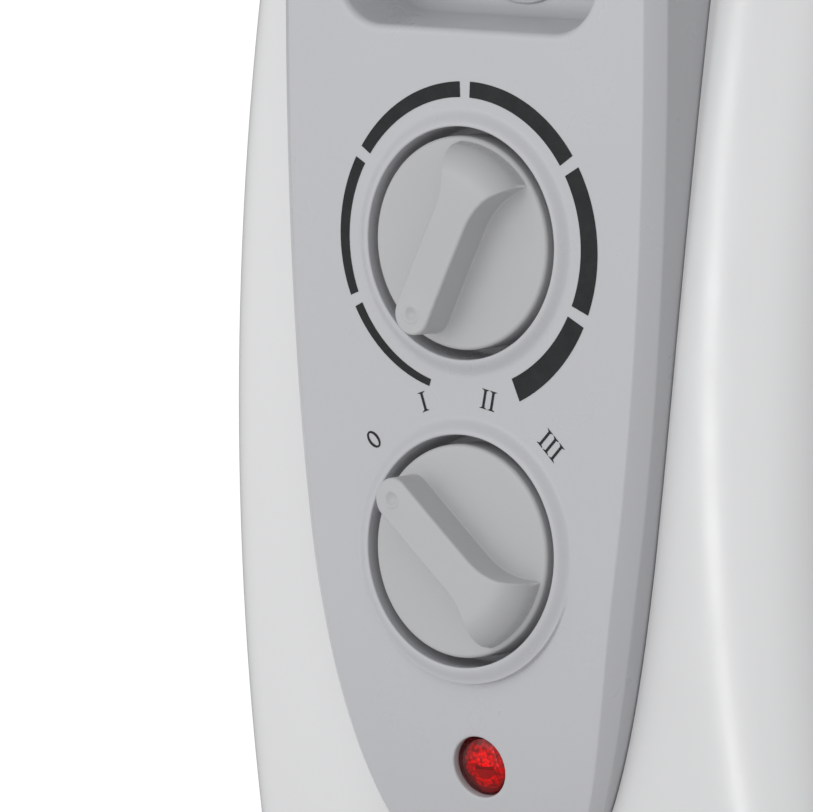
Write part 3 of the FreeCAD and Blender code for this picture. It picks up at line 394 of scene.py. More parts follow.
def housing_cover():
    levels = housing_levels()
    rows = [housing_section(z, inset) for z, inset in levels]
    cols = len(rows[0])
    verts = [p for row in rows for p in row]
    faces = grid_faces(len(rows), cols)
    last = (len(rows) - 1) * cols
    faces += [tuple(range(cols)), tuple(range(last, last + cols))]
    cover = mesh_object("housing_cover", verts, faces, MATERIALS["housing"])
    wall = cover.modifiers.new("wall", "SOLIDIFY")
    wall.thickness = HOUSING_WALL * MM
    wall.offset = -1
    applied(cover)
    cut_away(cover, panel_cutter())
    low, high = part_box("cord_gland")
    middle = (low + high) / 2 / MM
    cut_away(cover, rod("gland_hole", middle.x, middle.y, middle.z, GLAND_HOLE_R, GLAND_HOLE_HALF_H))
    tidy_mesh(cover.data, 35.0)
    place(cover, "heater", "housing", "control_housing")


def rod(name, x, y, z, r, half_h):
    """Upright cylinder used as a cutter."""
    ring = [(x + r * math.cos(a), y + r * math.sin(a)) for a in np.linspace(0, 2 * math.pi, 48, False)]
    verts = [(px, py, z + s * half_h) for s in (-1, 1) for px, py in ring]
    faces = grid_faces(2, 48, closed=True) + [tuple(range(48)), tuple(range(48, 96))]
    return mesh_object(name, verts, faces, MATERIALS["housing"])


# ======================= control panel =======================
# The panel is a flat sheet bent about X: v runs up the sheet, and h is the height above it.
LOW_TURN = math.asin((SELECTOR_Z - (PANEL_REF_Z - PANEL_TIP_DROP)) / PANEL_LOW_R)
V_TIP = SELECTOR_Z - PANEL_LOW_R * LOW_TURN
V_ROLLED = PANEL_FLAT_TOP + PANEL_TOP_R * math.pi / 2
V_END = V_ROLLED + 3.0


def bent(x, v, h):
    """Point of the bent sheet."""
    if v < SELECTOR_Z:
        a = (SELECTOR_Z - v) / PANEL_LOW_R
        y, z = PANEL_LOW_R * (1 - math.cos(a)), SELECTOR_Z - PANEL_LOW_R * math.sin(a)
        ny, nz = -math.cos(a), -math.sin(a)
    elif v < PANEL_FLAT_TOP:
        y, z, ny, nz = 0.0, v, -1.0, 0.0
    elif v < V_ROLLED:
        a = (v - PANEL_FLAT_TOP) / PANEL_TOP_R
        y, z = PANEL_TOP_R * (1 - math.cos(a)), PANEL_FLAT_TOP + PANEL_TOP_R * math.sin(a)
        ny, nz = -math.cos(a), math.sin(a)
    else:
        y, z, ny, nz = PANEL_TOP_R + v - V_ROLLED, TOP_Z, 0.0, 1.0
    return x, PANEL_Y + y + h * ny, z + h * nz


def sheet_height(z):
    """The sheet's v at height z on the flat or the lower part."""
    if z >= SELECTOR_Z:
        return z
    return SELECTOR_Z - PANEL_LOW_R * math.asin((SELECTOR_Z - z) / PANEL_LOW_R)


def panel_side_points():
    """Right-hand edge from the tip to the back of the top, as (x, v)."""
    points = []
    for turn in np.radians(np.linspace(90, 0, 70)):
        z = PANEL_REF_Z - PANEL_TIP_DROP * math.sin(turn)
        points.append((PANEL_HALF_W * math.cos(turn) ** (2 / 3), sheet_height(z)))
    points += [(PANEL_HALF_W, v) for v in np.linspace(PANEL_REF_Z, V_END, 64)[1:]]
    return points


def panel_outline():
    """Closed outline, anticlockwise from the tip, with outward directions and edge radii."""
    right = panel_side_points()
    back = [(x, V_END) for x in np.linspace(PANEL_HALF_W, -PANEL_HALF_W, 27)[1:-1]]
    left = [(-x, v) for x, v in reversed(right[1:])]
    loop = np.array(right + back + left)
    out = outward_directions(loop)
    past_tip = smoothstep((loop[:, 1] - V_TIP) / TIP_BLEND)
    before_back = smoothstep((V_END - loop[:, 1]) / BACK_BLEND)
    radius = (TIP_EDGE + (PANEL_EDGE - TIP_EDGE) * past_tip) * before_back + BACK_EDGE * (1 - before_back)
    return loop, out, radius


def skirt_depth(v):
    """How far the flank runs back: less at the tip, more where the housing falls away at the top."""
    deepest = PANEL_SKIRT + TOP_EXTRA * smoothstep((v - EXTRA_FROM_V) / EXTRA_BLEND)
    return np.minimum(deepest, TIP_SKIRT + (v - V_TIP) * SKIRT_SLOPE)


def panel_rim(loop, out, radius):
    """Bevel with rounded ends and a flank that sweep round the outline. Its first row bounds the face."""
    guard, soft = 0.5, 0.25
    rows = [(-radius - guard, 0 * radius), (-radius, 0 * radius)]
    for a in np.radians(np.linspace(0, 45, 5)[1:]):
        rows.append((-radius * (1 - soft * math.sin(a)), -radius * soft * (1 - math.cos(a))))
    for a in np.radians(np.linspace(45, 90, 5)):
        rows.append((-radius * soft * (1 - math.sin(a)), -radius * (1 - soft * math.cos(a))))
    rows.append((0 * radius, -(radius + guard)))
    rows.append((0 * radius, -np.maximum(skirt_depth(loop[:, 1]), radius + 2)))
    verts = []
    for offset, height in rows:
        flat = loop + out * offset[:, None]
        verts += [bent(x, v, h) for (x, v), h in zip(flat, height)]
    boundary = loop + out * rows[0][0][:, None]
    return verts, grid_faces(len(rows), len(loop), closed=True), boundary


def panel_cutter():
    """Panel outline grown by the seam, as a closed bar that opens the housing."""
    side = [(x + SEAM, v) for x, v in panel_side_points()]
    side[0] = (1.0, V_TIP - SEAM)
    side[-1] = (PANEL_HALF_W + SEAM, V_END + SEAM)
    verts = []
    for x, v in side:
        deep = -max(skirt_depth(v) + CUTTER_EXTRA, CUTTER_MIN_DEPTH)
        verts += [bent(-x, v, CUTTER_FRONT), bent(x, v, CUTTER_FRONT), bent(x, v, deep), bent(-x, v, deep)]
    count = len(side)
    faces = grid_faces(count, 4, closed=True) + [(0, 1, 2, 3), tuple(range(4 * count - 4, 4 * count))]
    return mesh_object("panel_cutter", verts, faces, MATERIALS["housing"])


def circle(cx, cz, r, count):
    turns = np.linspace(0, 2 * math.pi, count, False)
    return np.stack([cx + r * np.sin(turns), cz + r * np.cos(turns)], 1)


def knob_well(centre_z):
    """Raised ring round a well with a floor; flat in front view even where the sheet curves."""
    count = 160
    profile = [(RING_FOOT_R + (RING_CREST_R - RING_FOOT_R) * t,
                RING_H * (0.5 - 0.5 * math.cos(math.pi * t)))
               for t in np.linspace(0, 1, 13)[1:]]
    profile += [(RING_CREST_R - RING_LIP_R * math.sin(a), RING_H - RING_LIP_R * (1 - math.cos(a)))
                for a in np.radians(np.linspace(0, 90, 7)[1:])]
    wall = [(WELL_R, -1.0), (WELL_R - 0.1, -6.0), (WELL_R - 0.3, -WELL_DEPTH + 1.0)]
    floor = [(WELL_R - 0.6, -WELL_DEPTH + 0.3), (WELL_R - 1.3, -WELL_DEPTH), (WELL_R - 2, -WELL_DEPTH),
             (SPINDLE_HOLE_R, -WELL_DEPTH), (SPINDLE_HOLE_R, -WELL_DEPTH - PANEL_WALL)]
    outer = [circle(0, centre_z, r, count) for r in (RING_FOOT_R + 0.5, RING_FOOT_R)]
    verts = [bent(x, v, 0.0) for loop in outer for x, v in loop]
    for r, h in profile + wall + floor:
        verts += [(x, PANEL_Y - h, z) for x, z in circle(0, centre_z, r, count)]
    rows = len(outer) + len(profile) + len(wall) + len(floor)
    return verts, grid_faces(rows, count, closed=True), outer[0]


def lamp_hole():
    """Small rounded hole for the lamp, with a guide tube behind it."""
    count = 72
    v0 = sheet_height(LAMP_Z)
    lip = 0.45
    profile = [(LENS_R + 1.3, 0.0), (LENS_R + lip, 0.0)]
    profile += [(LENS_R + lip - lip * math.sin(a), -lip + lip * math.cos(a))
                for a in np.radians(np.linspace(0, 90, 7)[1:])]
    profile += [(LENS_R, -1.2), (LENS_R, -4.5)]
    verts = [bent(x, v, h) for r, h in profile for x, v in circle(0, v0, r, count)]
    return verts, grid_faces(len(profile), count, closed=True), circle(0, v0, profile[0][0], count)


def rounded_rectangle(half_w, low, high, r, per_corner=14):
    corners = ((half_w - r, high - r, 0), (-half_w + r, high - r, 90), (-half_w + r, low + r, 180),
               (half_w - r, low + r, 270))
    points = []
    for cx, cz, start in corners:
        for a in np.radians(np.linspace(start, start + 90, per_corner)):
            points.append((cx + r * math.cos(a), cz + r * math.sin(a)))
    return np.array(points)


def pocket():
    """Finger pocket: rounded lip, drafted walls and a floor with a soft corner."""
    low, high = POCKET_LOW_Z, POCKET_LOW_Z + POCKET_H
    draft = 1.5
    lip, soft = POCKET_LIP_R, POCKET_FLOOR_R
    profile = [(lip + 0.6, 0.0), (lip, 0.0)]
    profile += [(lip * (1 - math.sin(a)), -lip * (1 - math.cos(a)))
                for a in np.radians(np.linspace(0, 90, 8)[1:])]
    wall_end = POCKET_DEPTH - soft
    profile += [(-0.05, -lip - 0.5), (-draft, -wall_end)]
    profile += [(-draft - soft * (1 - math.cos(a)), -wall_end - soft * math.sin(a))
                for a in np.radians(np.linspace(0, 90, 9)[1:])]
    profile.append((-draft - soft - 0.6, -POCKET_DEPTH))
    verts = []
    for grow, h in profile:
        loop = rounded_rectangle(POCKET_HALF_W + grow, low - grow, high + grow, POCKET_CORNER_R + grow)
        verts += [(x, PANEL_Y - h, z) for x, z in loop]
    count = len(loop)
    faces = grid_faces(len(profile), count, closed=True)
    last = (len(profile) - 1) * count
    faces.append(tuple(range(last, last + count)))
    grow = profile[0][0]
    edge = rounded_rectangle(POCKET_HALF_W + grow, low - grow, high + grow, POCKET_CORNER_R + grow)
    return verts, faces, edge


def inside(points, loop):
    """Which points lie inside a closed loop."""
    x, z = points[:, 0][:, None], points[:, 1][:, None]
    x0, z0 = loop[:, 0][None], loop[:, 1][None]
    x1, z1 = np.roll(loop, -1, 0)[:, 0][None], np.roll(loop, -1, 0)[:, 1][None]
    crosses = (z0 > z) != (z1 > z)
    at = x0 + (z - z0) * (x1 - x0) / np.where(z1 == z0, 1e-12, z1 - z0)
    return np.sum(crosses & (x < at), 1) % 2 == 1


def near_loop(points, loop, gap):
    d = np.linalg.norm(points[:, None] - loop[None], axis=2)
    return d.min(1) < gap


def sheet_between(boundary, holes, inner):
    """Triangles that fill a flat loop round its holes and pass through the inner points."""
    points, edges = [], []
    for loop in [boundary, *holes]:
        start = len(points)
        points += list(loop)
        edges += [(start + i, start + (i + 1) % len(loop)) for i in range(len(loop))]
    points += list(inner)
    flat = [Vector((float(x), float(v))) for x, v in points]
    out, _, tris, _, _, _ = delaunay_2d_cdt(flat, edges, [], 0, 1e-5)
    out = np.array([(p.x, p.y) for p in out])
    tris = np.array(tris)
    middle = out[tris].mean(1)
    used = inside(middle, boundary)
    for hole in holes:
        used &= ~inside(middle, hole)
    return out, [tuple(t) for t in tris[used]]


def panel_face(boundary, holes):
    """The sheet between the rim and the holes, with cross lines only where it bends."""
    lines = list(np.arange(V_TIP + 2, SELECTOR_Z + 30, 4.0))
    lines += list(np.arange(PANEL_FLAT_TOP - 2, V_ROLLED + 1, 2.0))
    rows = [np.array([(x, v) for x in np.arange(-48, 49, 6.0)]) for v in lines]
    flat, tris = sheet_between(boundary, holes, spots(rows, boundary, holes, 1.6))
    return [bent(x, v, 0.0) for x, v in flat], tris


def control_panel():
    loop, out, radius = panel_outline()
    rim_verts, rim_faces, boundary = panel_rim(loop, out, radius)
    patches = [knob_well(THERMOSTAT_Z), knob_well(SELECTOR_Z), lamp_hole(), pocket()]
    face = panel_face(boundary, [p[2] for p in patches])
    verts, faces = join([(rim_verts, rim_faces), face] + [p[:2] for p in patches])
    panel = mesh_object("panel_moulding", verts, faces, MATERIALS["panel"], 40.0)
    place(panel, "heater", "panel", "control_panel")


# ======================= knobs =======================
# In a knob's own frame b runs along the pointer, a across it, and h is the height above the panel.
def grip_outline():
    """Pointer bar seen from the front: round tip, straight sides, flared tail, arc at the rim."""
    tip = [(GRIP_HALF_W * math.cos(t), GRIP_TIP + GRIP_HALF_W * math.sin(t))
           for t in np.radians(np.linspace(0, 180, 41))]
    tail_turn = math.asin(GRIP_TAIL_HALF_W / GRIP_TAIL_R)
    tail_b = -GRIP_TAIL_R * math.cos(tail_turn)
    side = [(-GRIP_HALF_W, b) for b in np.linspace(GRIP_TIP, FLARE_FROM, 16)[1:]]
    for share in np.linspace(0, 1, 26)[1:]:
        b = FLARE_FROM + (tail_b - FLARE_FROM) * share
        side.append((-GRIP_HALF_W - (GRIP_TAIL_HALF_W - GRIP_HALF_W) * share ** 2.2, b))
    tail = [(GRIP_TAIL_R * math.sin(t), -GRIP_TAIL_R * math.cos(t))
            for t in np.linspace(-tail_turn, tail_turn, 40)[1:-1]]
    other = [(-x, b) for x, b in reversed(side)]
    return np.array(tip + side + tail + other)


def disc_height(points):
    r = np.hypot(points[:, 0], points[:, 1])
    return KNOB_FACE + KNOB_DOME * (1 - (r / KNOB_R) ** 2)


def grip_rise(points):
    """Height of the bar's top above the disc; it rounds down to nothing at the tail."""
    r = np.hypot(points[:, 0], points[:, 1])
    fall = np.clip((r - SLOPE_FROM_R) / (GRIP_TAIL_R - SLOPE_FROM_R), 0.0, 1.0)
    fall = np.where(points[:, 1] < 0, fall, 0.0)
    return GRIP_H * np.sqrt(1 - fall ** 2)


def dimple(points):
    """Shallow dish with a fine raised lip near the tip."""
    d = np.hypot(points[:, 0], points[:, 1] - GRIP_TIP) / DIMPLE_R
    return 0.2 * np.exp(-((d - 1.0) / 0.22) ** 2) - 0.55 * smoothstep(1.0 - d)


def outward_directions(loop):
    """Mitred outward directions of a closed anticlockwise loop."""
    ahead, behind = np.roll(loop, -1, 0) - loop, loop - np.roll(loop, 1, 0)

    def right_of(d):
        d = d / np.linalg.norm(d, axis=1)[:, None]
        return np.stack([d[:, 1], -d[:, 0]], 1)

    total = right_of(ahead) + right_of(behind)
    return total / np.maximum(np.sum(total * right_of(ahead), 1), 0.3)[:, None]


def grip_wall(loop):
    """Foot fillet, steep wall and rounded top edge round the bar, as flat points with heights."""
    out = outward_directions(loop)
    size = np.clip(grip_rise(loop) / 2.0, 0.0, 1.0)
    rows = []
    for t in np.radians(np.linspace(0, 90, 5)):
        flat = loop + out * (GRIP_FOOT_R * (1 - math.sin(t)) * size + GRIP_DRAFT * size)[:, None]
        rows.append((flat, disc_height(flat) + GRIP_FOOT_R * (1 - math.cos(t)) * size))
    for t in np.radians(np.linspace(0, 90, 8)):
        flat = loop - out * (GRIP_TOP_R * (1 - math.cos(t)) * size)[:, None]
        drop = GRIP_TOP_R * (1 - math.sin(t)) * size
        rows.append((flat, disc_height(flat) + grip_rise(flat) - drop))
    flat = loop - out * ((GRIP_TOP_R + 0.25) * size)[:, None]
    rows.append((flat, disc_height(flat) + grip_rise(flat)))
    return rows


def spots(loops_of_points, keep_in, keep_out=(), gap=0.25):
    """Points that lie inside one loop, outside others and clear of all of them."""
    points = np.concatenate(loops_of_points)
    keep = inside(points, keep_in) & ~near_loop(points, keep_in, gap)
    for loop in keep_out:
        keep &= ~inside(points, loop) & ~near_loop(points, loop, gap)
    return points[keep]


def knob(name, centre_z):
    """Disc with a rounded rim and a moulded pointer bar, closed by its skirt and underside."""
    angle = math.radians(POINTERS[name])
    count = 240
    grip = grip_wall(grip_outline())
    foot, crest = grip[0][0], grip[-1][0]
    face_r = KNOB_R - KNOB_EDGE_R
    rim = np.array(circle(0, 0, face_r, count))
    parts = []

    def add(flat, heights, faces):
        turned = [(a * math.cos(angle) + b * math.sin(angle), PANEL_Y - h,
                   centre_z - a * math.sin(angle) + b * math.cos(angle))
                  for (a, b), h in zip(flat, heights)]
        parts.append((turned, faces))

    disc_rings = [circle(0, 0, r, max(6, int(r * 3))) for r in np.arange(2.0, face_r, 2.2)]
    flat, tris = sheet_between(rim, [foot], spots(disc_rings, rim, [foot], 0.7))
    add(flat, disc_height(flat), tris)
    for_dimple = [circle(0, GRIP_TIP, r, 30) for r in np.linspace(0.15, 2.4, 12)]
    dimple_edge = circle(0, GRIP_TIP, 2.6, 30)
    arcs = [circle(0, 0, GRIP_TAIL_R - (GRIP_TAIL_R - SLOPE_FROM_R) * (1 - math.sin(t)), 150)
            for t in np.radians(np.linspace(4, 86, 20))]
    along = [np.array([(a, b) for a in np.linspace(-4, 4, 7)]) for b in np.arange(-12.0, 12.0, 2.0)]
    crest_points = np.concatenate([spots(for_dimple, dimple_edge, (), 0.05),
                                   spots([p[p[:, 1] < -8] for p in arcs], crest, (), 0.22),
                                   spots(along, crest, (), 0.4)])
    flat, tris = sheet_between(crest, [], crest_points)
    add(flat, disc_height(flat) + grip_rise(flat) + dimple(flat), tris)
    add(np.concatenate([row[0] for row in grip]), np.concatenate([row[1] for row in grip]),
        grid_faces(len(grip), len(foot), closed=True))
    steps = 7
    profile = [(face_r + KNOB_EDGE_R * math.sin(t), KNOB_FACE - KNOB_EDGE_R * (1 - math.cos(t)))
               for t in np.radians(np.linspace(0, 90, steps + 1))]
    start_h = disc_height(rim)[0]
    profile = [(r, h + (start_h - KNOB_FACE) * (1 - i / steps)) for i, (r, h) in enumerate(profile)]
    inside_r = KNOB_R - KNOB_WALL
    profile += [(KNOB_R, -1.0), (KNOB_R, KNOB_BACK), (inside_r, KNOB_BACK), (inside_r, KNOB_INSIDE),
                (HUB_R, KNOB_INSIDE), (HUB_R, HUB_BACK), (HUB_BORE_R, HUB_BACK)]
    rings = np.concatenate([circle(0, 0, r, count) for r, _ in profile])
    heights = np.repeat([h for _, h in profile], count)
    last = (len(profile) - 1) * count
    add(rings, heights, grid_faces(len(profile), count, closed=True) + [tuple(range(last, last + count))])
    obj = mesh_object(name + "_pointer_knob", *join(parts), MATERIALS["knob"], 50.0)
    place(obj, name + "_control", "knob", name + "_knob")


# ======================= print =======================
def print_patch(corner_rows):
    """Thin raised film over rows of (x, v) points."""
    rows, cols = len(corner_rows), len(corner_rows[0])
    verts = [bent(x, v, PRINT_LIFT) for row in corner_rows for x, v in row]
    return verts, grid_faces(rows, cols)


def print_object(name, patches, node):
    verts, faces = join(patches)
    film = mesh_object(name, verts, faces, MATERIALS["print"], 3.0)
    for polygon in film.data.polygons:
        if polygon.normal.y > 0:
            polygon.flip()
    thick = film.modifiers.new("film", "SOLIDIFY")
    thick.thickness = PRINT_LIFT * MM * 0.8
    thick.offset = -1
    applied(film)
    film.data.set_sharp_from_angle(angle=math.radians(3))
    place(film, "heater", "print", node)


def dial_scale():
    """Six arc segments that widen steadily clockwise."""
    edges = [SCALE_START, *SCALE_GAPS, SCALE_END]
    half_gap = math.degrees(SCALE_GAP_W / 2 / SCALE_R)
    patches = []
    for i, (a, b) in enumerate(zip(edges, edges[1:])):
        a += half_gap if i else 0
        b -= half_gap if i < len(SCALE_GAPS) else 0
        rows = []
        for t in np.linspace(a, b, 40):
            share = (t - SCALE_START) / (SCALE_END - SCALE_START)
            sine, cosine = math.sin(math.radians(t)), math.cos(math.radians(t))
            radii = (SCALE_R, SCALE_R * (SCALE_THIN + (SCALE_THICK - SCALE_THIN) * share))
            rows.append([(r * sine, THERMOSTAT_Z + r * cosine) for r in radii])
        patches.append(print_patch(rows))
    print_object("dial_scale_print", patches, "dial_scale")


def numeral_patches(count):
    """Upright mark about the origin: an oval for 0, serifed bars for the others."""
    h = NUMERAL_H / 2
    if count == 0:
        ovals = ((ZERO_HALF_W, h), (ZERO_HOLE_HALF_W, h - ZERO_STROKE))
        return [[[(rx * math.cos(t), rz * math.sin(t)) for rx, rz in ovals]
                 for t in np.linspace(0, 2 * math.pi, 41)]]
    patches = []
    for i in range(count):
        x = (i - (count - 1) / 2) * NUMERAL_PITCH
        patches.append([[(x - BAR_HALF_W, z), (x + BAR_HALF_W, z)] for z in (-h + BAR_INSET, h - BAR_INSET)])
        for s in (-1, 1):
            neck = s * (h - SERIF_H)
            patches.append([[(x - SERIF_HALF_W, s * h), (x + SERIF_HALF_W, s * h)],
                            [(x - BAR_HALF_W, neck), (x + BAR_HALF_W, neck)]])
    return patches


def selector_numerals():
    patches = []
    for count, degrees in enumerate(NUMERAL_ANGLES):
        t = math.radians(degrees)
        for mark in numeral_patches(count):
            rows = [[(x * math.cos(t) + (z + NUMERAL_R) * math.sin(t),
                      SELECTOR_Z - x * math.sin(t) + (z + NUMERAL_R) * math.cos(t)) for x, z in row]
                    for row in mark]
            patches.append(print_patch(rows))
    print_object("numeral_print", patches, "selector_numerals")


# ======================= lamp and badge =======================
def lathe(profile, place_point, count=72, caps=(False, False)):
    verts = []
    for r, h in profile:
        for t in np.linspace(0, 2 * math.pi, count, False):
            verts.append(place_point(r * math.sin(t), r * math.cos(t), h))
    faces = grid_faces(len(profile), count, closed=True)
    if caps[0]:
        faces.append(tuple(range(count)))
    if caps[1]:
        faces.append(tuple(range((len(profile) - 1) * count, len(profile) * count)))
    return verts, faces


def pilot_lamp():
    """Red lens set a little below the panel, over a glowing core in a dark well."""
    v0 = sheet_height(LAMP_Z)

    def at(dx, dz, h):
        return bent(dx, v0 + dz, h)

    edge = LENS_R - 0.12
    profile = [(0.05, -0.3), (1.5, -0.32), (3.0, -0.42), (4.4, -0.65), (5.5, -1.0), (edge, -1.7),
               (edge, LENS_BACK), (LENS_R - 1.2, LENS_BACK), (LENS_R - 1.3, -2.5), (0.05, -2.5)]
    lens = mesh_object("pilot_lamp_lens", *lathe(profile, at, caps=(True, True)), MATERIALS["lens"])
    place(lens, "heater", "lens", "pilot_lens")
    rows = [(r, CORE_FRONT - CORE_DOME * r * r) for r in np.linspace(0.05, CORE_R, 16)]
    rows.append((CORE_R, -6.0))
    core = mesh_object("pilot_lamp_core", *lathe(rows, at, 96, (True, True)), glow_material(), 60.0)
    place(core, "heater", "bulb")
    well = [(LENS_R - 0.02, -4.5), (LENS_R - 0.02, -6.5), (0.05, -6.5)]
    back = mesh_object("pilot_lamp_well", *lathe(well, at, caps=(False, True)), MATERIALS["switch_plastic"])
    place(back, "heater", "switch_plastic")


def pocket_badge():
    """Blank round badge with a fine rim."""
    z0 = POCKET_LOW_Z + POCKET_H / 2 - BADGE_DROP
    floor = -POCKET_DEPTH
    profile = [(BADGE_R, floor), (BADGE_R, floor + 0.5), (BADGE_R - 0.3, floor + 0.8),
               (BADGE_R - 0.9, floor + 0.8), (BADGE_R - 1.3, floor + 0.45), (BADGE_R - 2, floor + 0.45),
               (0.1, floor + 0.6)]
    verts, faces = lathe(profile, lambda dx, dz, h: (dx, PANEL_Y - h, z0 + dz), 96, (False, True))
    badge = mesh_object("pocket_badge_disc", verts, faces, MATERIALS["badge"])
    place(badge, "heater", "badge", "pocket_badge")


# ======================= fins =======================
def fin_height(x, z, low, high):
    """Half thickness of a fin: pressed channels and headers, flat web and a folded hem."""
    middle_z, half_h = (low + high) / 2, (high - low) / 2
    edge = -rounded_box_distance(x, z - middle_z, FIN_HALF_W, half_h, FIN_CORNER_R)
    header_z = (low + HEADER_ABOVE, high - HEADER_BELOW)
    fields = [rounded_box_distance(x, z - h, HEADER_HALF_W, HEADER_HALF_H, HEADER_CORNER_R) for h in header_z]
    span = (header_z[1] - header_z[0]) / 2
    for cx in CHANNEL_X:
        from_middle = z - sum(header_z) / 2
        fields.append(rounded_box_distance(x - cx, from_middle, CHANNEL_HALF_W, span, CHANNEL_CORNER_R))
    d = fields[0]
    for field in fields[1:]:
        d = soft_min(d, field, PRESSED_BLEND)
    height = FIN_SHEET + (FIN_BULGE - FIN_SHEET) * smoothstep((0.4 - d) / 6.0)
    hem = FIN_SHEET + (FIN_HEM - FIN_SHEET) * smoothstep((FIN_HEM_W + 0.8 - edge) / 1.2)
    height = np.maximum(height, hem)
    round_off = np.sqrt(np.clip(1 - (1 - np.clip(edge / 1.6, 0, 1)) ** 2, 0, 1))
    return height * round_off


def fin_mesh():
    low_corner, high_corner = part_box("fin_1")
    low, high = low_corner.z / MM, high_corner.z / MM
    border = np.array([0, 0.12, 0.4, 0.9, 1.6, 2.7, 3.3, 3.8, 4.4, 6.0])
    ends = np.concatenate([border, np.arange(8.0, 92.0, 3.2)])
    rows_z = np.concatenate([low + ends, np.linspace(low + 100, high - 100, 14), (high - ends)[::-1]])
    flank = np.concatenate([np.linspace(c - 14, c + 14, 17) for c in (0.0, 40.0)])
    half = np.unique(np.round(np.concatenate([flank[flank >= 0], [18, 22, 58, 61, 64, 67]]), 3))
    inner = FIN_HALF_W - border[-1]
    half = half[half < inner - 1]
    verts, rim = [], []
    for z in rows_z:
        dz = max(low + FIN_CORNER_R - z, z - (high - FIN_CORNER_R), 0.0)
        width = FIN_HALF_W - FIN_CORNER_R + math.sqrt(max(FIN_CORNER_R ** 2 - dz ** 2, 0.0))
        right = np.concatenate([half * (width - border[-1]) / inner, width - border[::-1]])
        xs = np.concatenate([-right[::-1], right[1:]])
        rim.append(xs)
    cols = len(rim[0])
    x = np.array(rim)
    z = np.repeat(rows_z[:, None], cols, 1)
    h = fin_height(x, z, low, high)
    h[0, :] = h[-1, :] = 0.0
    h[:, 0] = h[:, -1] = 0.0
    middle_y = (low_corner.y + high_corner.y) / 2 / MM
    for side in (-1, 1):
        verts += list(np.stack([x, middle_y + side * h, z], 2).reshape(-1, 3))
    count = len(rows_z) * cols
    faces = grid_faces(len(rows_z), cols) + grid_faces(len(rows_z), cols, count)
    return mesh_object("fin_panel_1", verts, faces, MATERIALS["enamel"], 60.0)


def fins():
    first = fin_mesh()
    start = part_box("fin_1")[0].y
    for i in range(FIN_COUNT):
        node = "fin_%d" % (i + 1)
        obj = first if i == 0 else bpy.data.objects.new("fin_panel_%d" % (i + 1), first.data)
        if i:
            bpy.context.scene.collection.objects.link(obj)
            obj.location.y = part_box(node)[0].y - start
        place(obj, "heater", "enamel", node)


# ======================= CAD pieces that stay =======================
def soften(obj, width, segments=2, angle=40.0):
    """Small rounded edges on a CAD piece."""
    edge = obj.modifiers.new("edge", "BEVEL")
    edge.width = width * MM
    edge.segments = segments
    edge.limit_method = "ANGLE"
    edge.angle_limit = math.radians(angle)
    edge.harden_normals = True


def finish_cad_pieces():
    slots = {part["node"]: part["material_slot"] for part in frame["record"]["subparts"]}
    for name, obj in frame["nodes"].items():
        if obj.hide_render:
            continue
        obj.data.materials.clear()
        obj.data.materials.append(MATERIALS[slots[name]])
        obj.data.shade_smooth()
        obj.data.set_sharp_from_angle(angle=math.radians(30))
    for name in ("front_foot", "rear_foot", "cord_wrap", "cord_gland", "foot_wing_nuts"):
        soften(frame["nodes"][name], 1.2 if name == "cord_wrap" else 0.4)
    for name, obj in frame["nodes"].items():
        if name.startswith("caster_hood"):
            soften(obj, 0.5)


# ======================= stage =======================
def floor():
    size, level = 900.0, -0.2
    verts = [(-size, -size, level), (size, -size, level), (size, size, level), (-size, size, level)]
    mat = finish("floor_pale", (0.9, 0.9, 0.9), 0.6, 0.01, 0.05, 3.0, 60.0, 0.05, 0.0005)
    obj = mesh_object("floor", verts, [(0, 1, 2, 3)], mat)


def area_light(name, location, target, size, power):
    light = bpy.data.lights.new(name, "AREA")
    light.shape = "RECTANGLE"
    light.size, light.size_y = size
    light.energy = power
    obj = bpy.data.objects.new(name, light)
    obj.location = location
    obj.rotation_euler = (Vector(target) - Vector(location)).to_track_quat("-Z", "Y").to_euler()
    obj.visible_camera = False
    bpy.context.scene.collection.objects.link(obj)


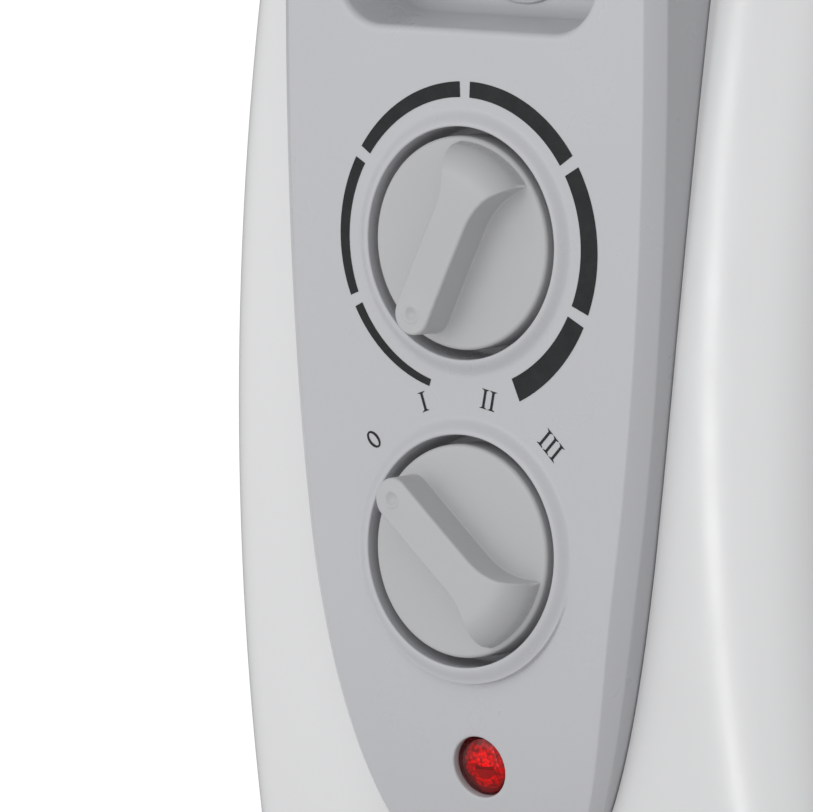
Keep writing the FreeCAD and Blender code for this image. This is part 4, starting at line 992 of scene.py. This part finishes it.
def studio():
    """Soft light that is strongest in front and fades towards the back and the top."""
    world = bpy.data.worlds.new("studio")
    world.use_nodes = True
    tree = world.node_tree
    background = tree.nodes["Background"]
    background.inputs["Color"].default_value = (1, 1, 1, 1)
    coords = tree.nodes.new("ShaderNodeTexCoord")
    facing = tree.nodes.new("ShaderNodeVectorMath")
    facing.operation = "DOT_PRODUCT"
    facing.inputs[1].default_value = Vector((-0.15, -1.0, -0.2)).normalized()
    tree.links.new(coords.outputs["Generated"], facing.inputs[0])
    fade = tree.nodes.new("ShaderNodeMapRange")
    fade.inputs["From Min"].default_value = -0.5
    fade.inputs["From Max"].default_value = 0.8
    fade.inputs["To Min"].default_value = 0.3
    fade.inputs["To Max"].default_value = 1.0
    tree.links.new(facing.outputs["Value"], fade.inputs["Value"])
    tree.links.new(fade.outputs["Result"], background.inputs["Strength"])
    seen = tree.nodes.new("ShaderNodeBackground")
    seen.inputs["Color"].default_value = (1, 1, 1, 1)
    seen.inputs["Strength"].default_value = 1.05
    path = tree.nodes.new("ShaderNodeLightPath")
    mix = tree.nodes.new("ShaderNodeMixShader")
    tree.links.new(path.outputs["Is Camera Ray"], mix.inputs["Fac"])
    tree.links.new(background.outputs["Background"], mix.inputs[1])
    tree.links.new(seen.outputs["Background"], mix.inputs[2])
    tree.links.new(mix.outputs["Shader"], tree.nodes["World Output"].inputs["Surface"])
    bpy.context.scene.world = world
    middle = (0, PANEL_Y * MM, 0.42)
    area_light("key_light", (-0.9, -2.2, 0.9), middle, (1.2, 1.2), 4.5)
    area_light("strip_light", (-0.24, -2.3, 0.5), middle, (0.05, 2.4), 3.0)


def camera():
    azimuth, elevation, distance = math.radians(37.7), math.radians(5.4), 5.0
    seen_width = 0.1724
    target = Vector((-0.0156, PANEL_Y * MM, (THERMOSTAT_Z - 35.6) * MM))
    toward = Vector((math.sin(azimuth) * math.cos(elevation), -math.cos(azimuth) * math.cos(elevation),
                     math.sin(elevation)))
    data = bpy.data.cameras.new("view")
    data.sensor_fit = "HORIZONTAL"
    data.sensor_width = 36.0
    data.lens = data.sensor_width * distance / seen_width
    data.clip_start, data.clip_end = 0.05, 50.0
    obj = bpy.data.objects.new("view", data)
    obj.location = target + toward * distance
    obj.rotation_euler = (-toward).to_track_quat("-Z", "Y").to_euler()
    bpy.context.scene.collection.objects.link(obj)
    bpy.context.scene.camera = obj


bpy.context.scene.view_settings.view_transform = "Standard"
control_panel()
housing_cover()
knob("thermostat", THERMOSTAT_Z)
knob("selector", SELECTOR_Z)
dial_scale()
selector_numerals()
pilot_lamp()
pocket_badge()
fins()
finish_cad_pieces()
floor()
studio()
camera()
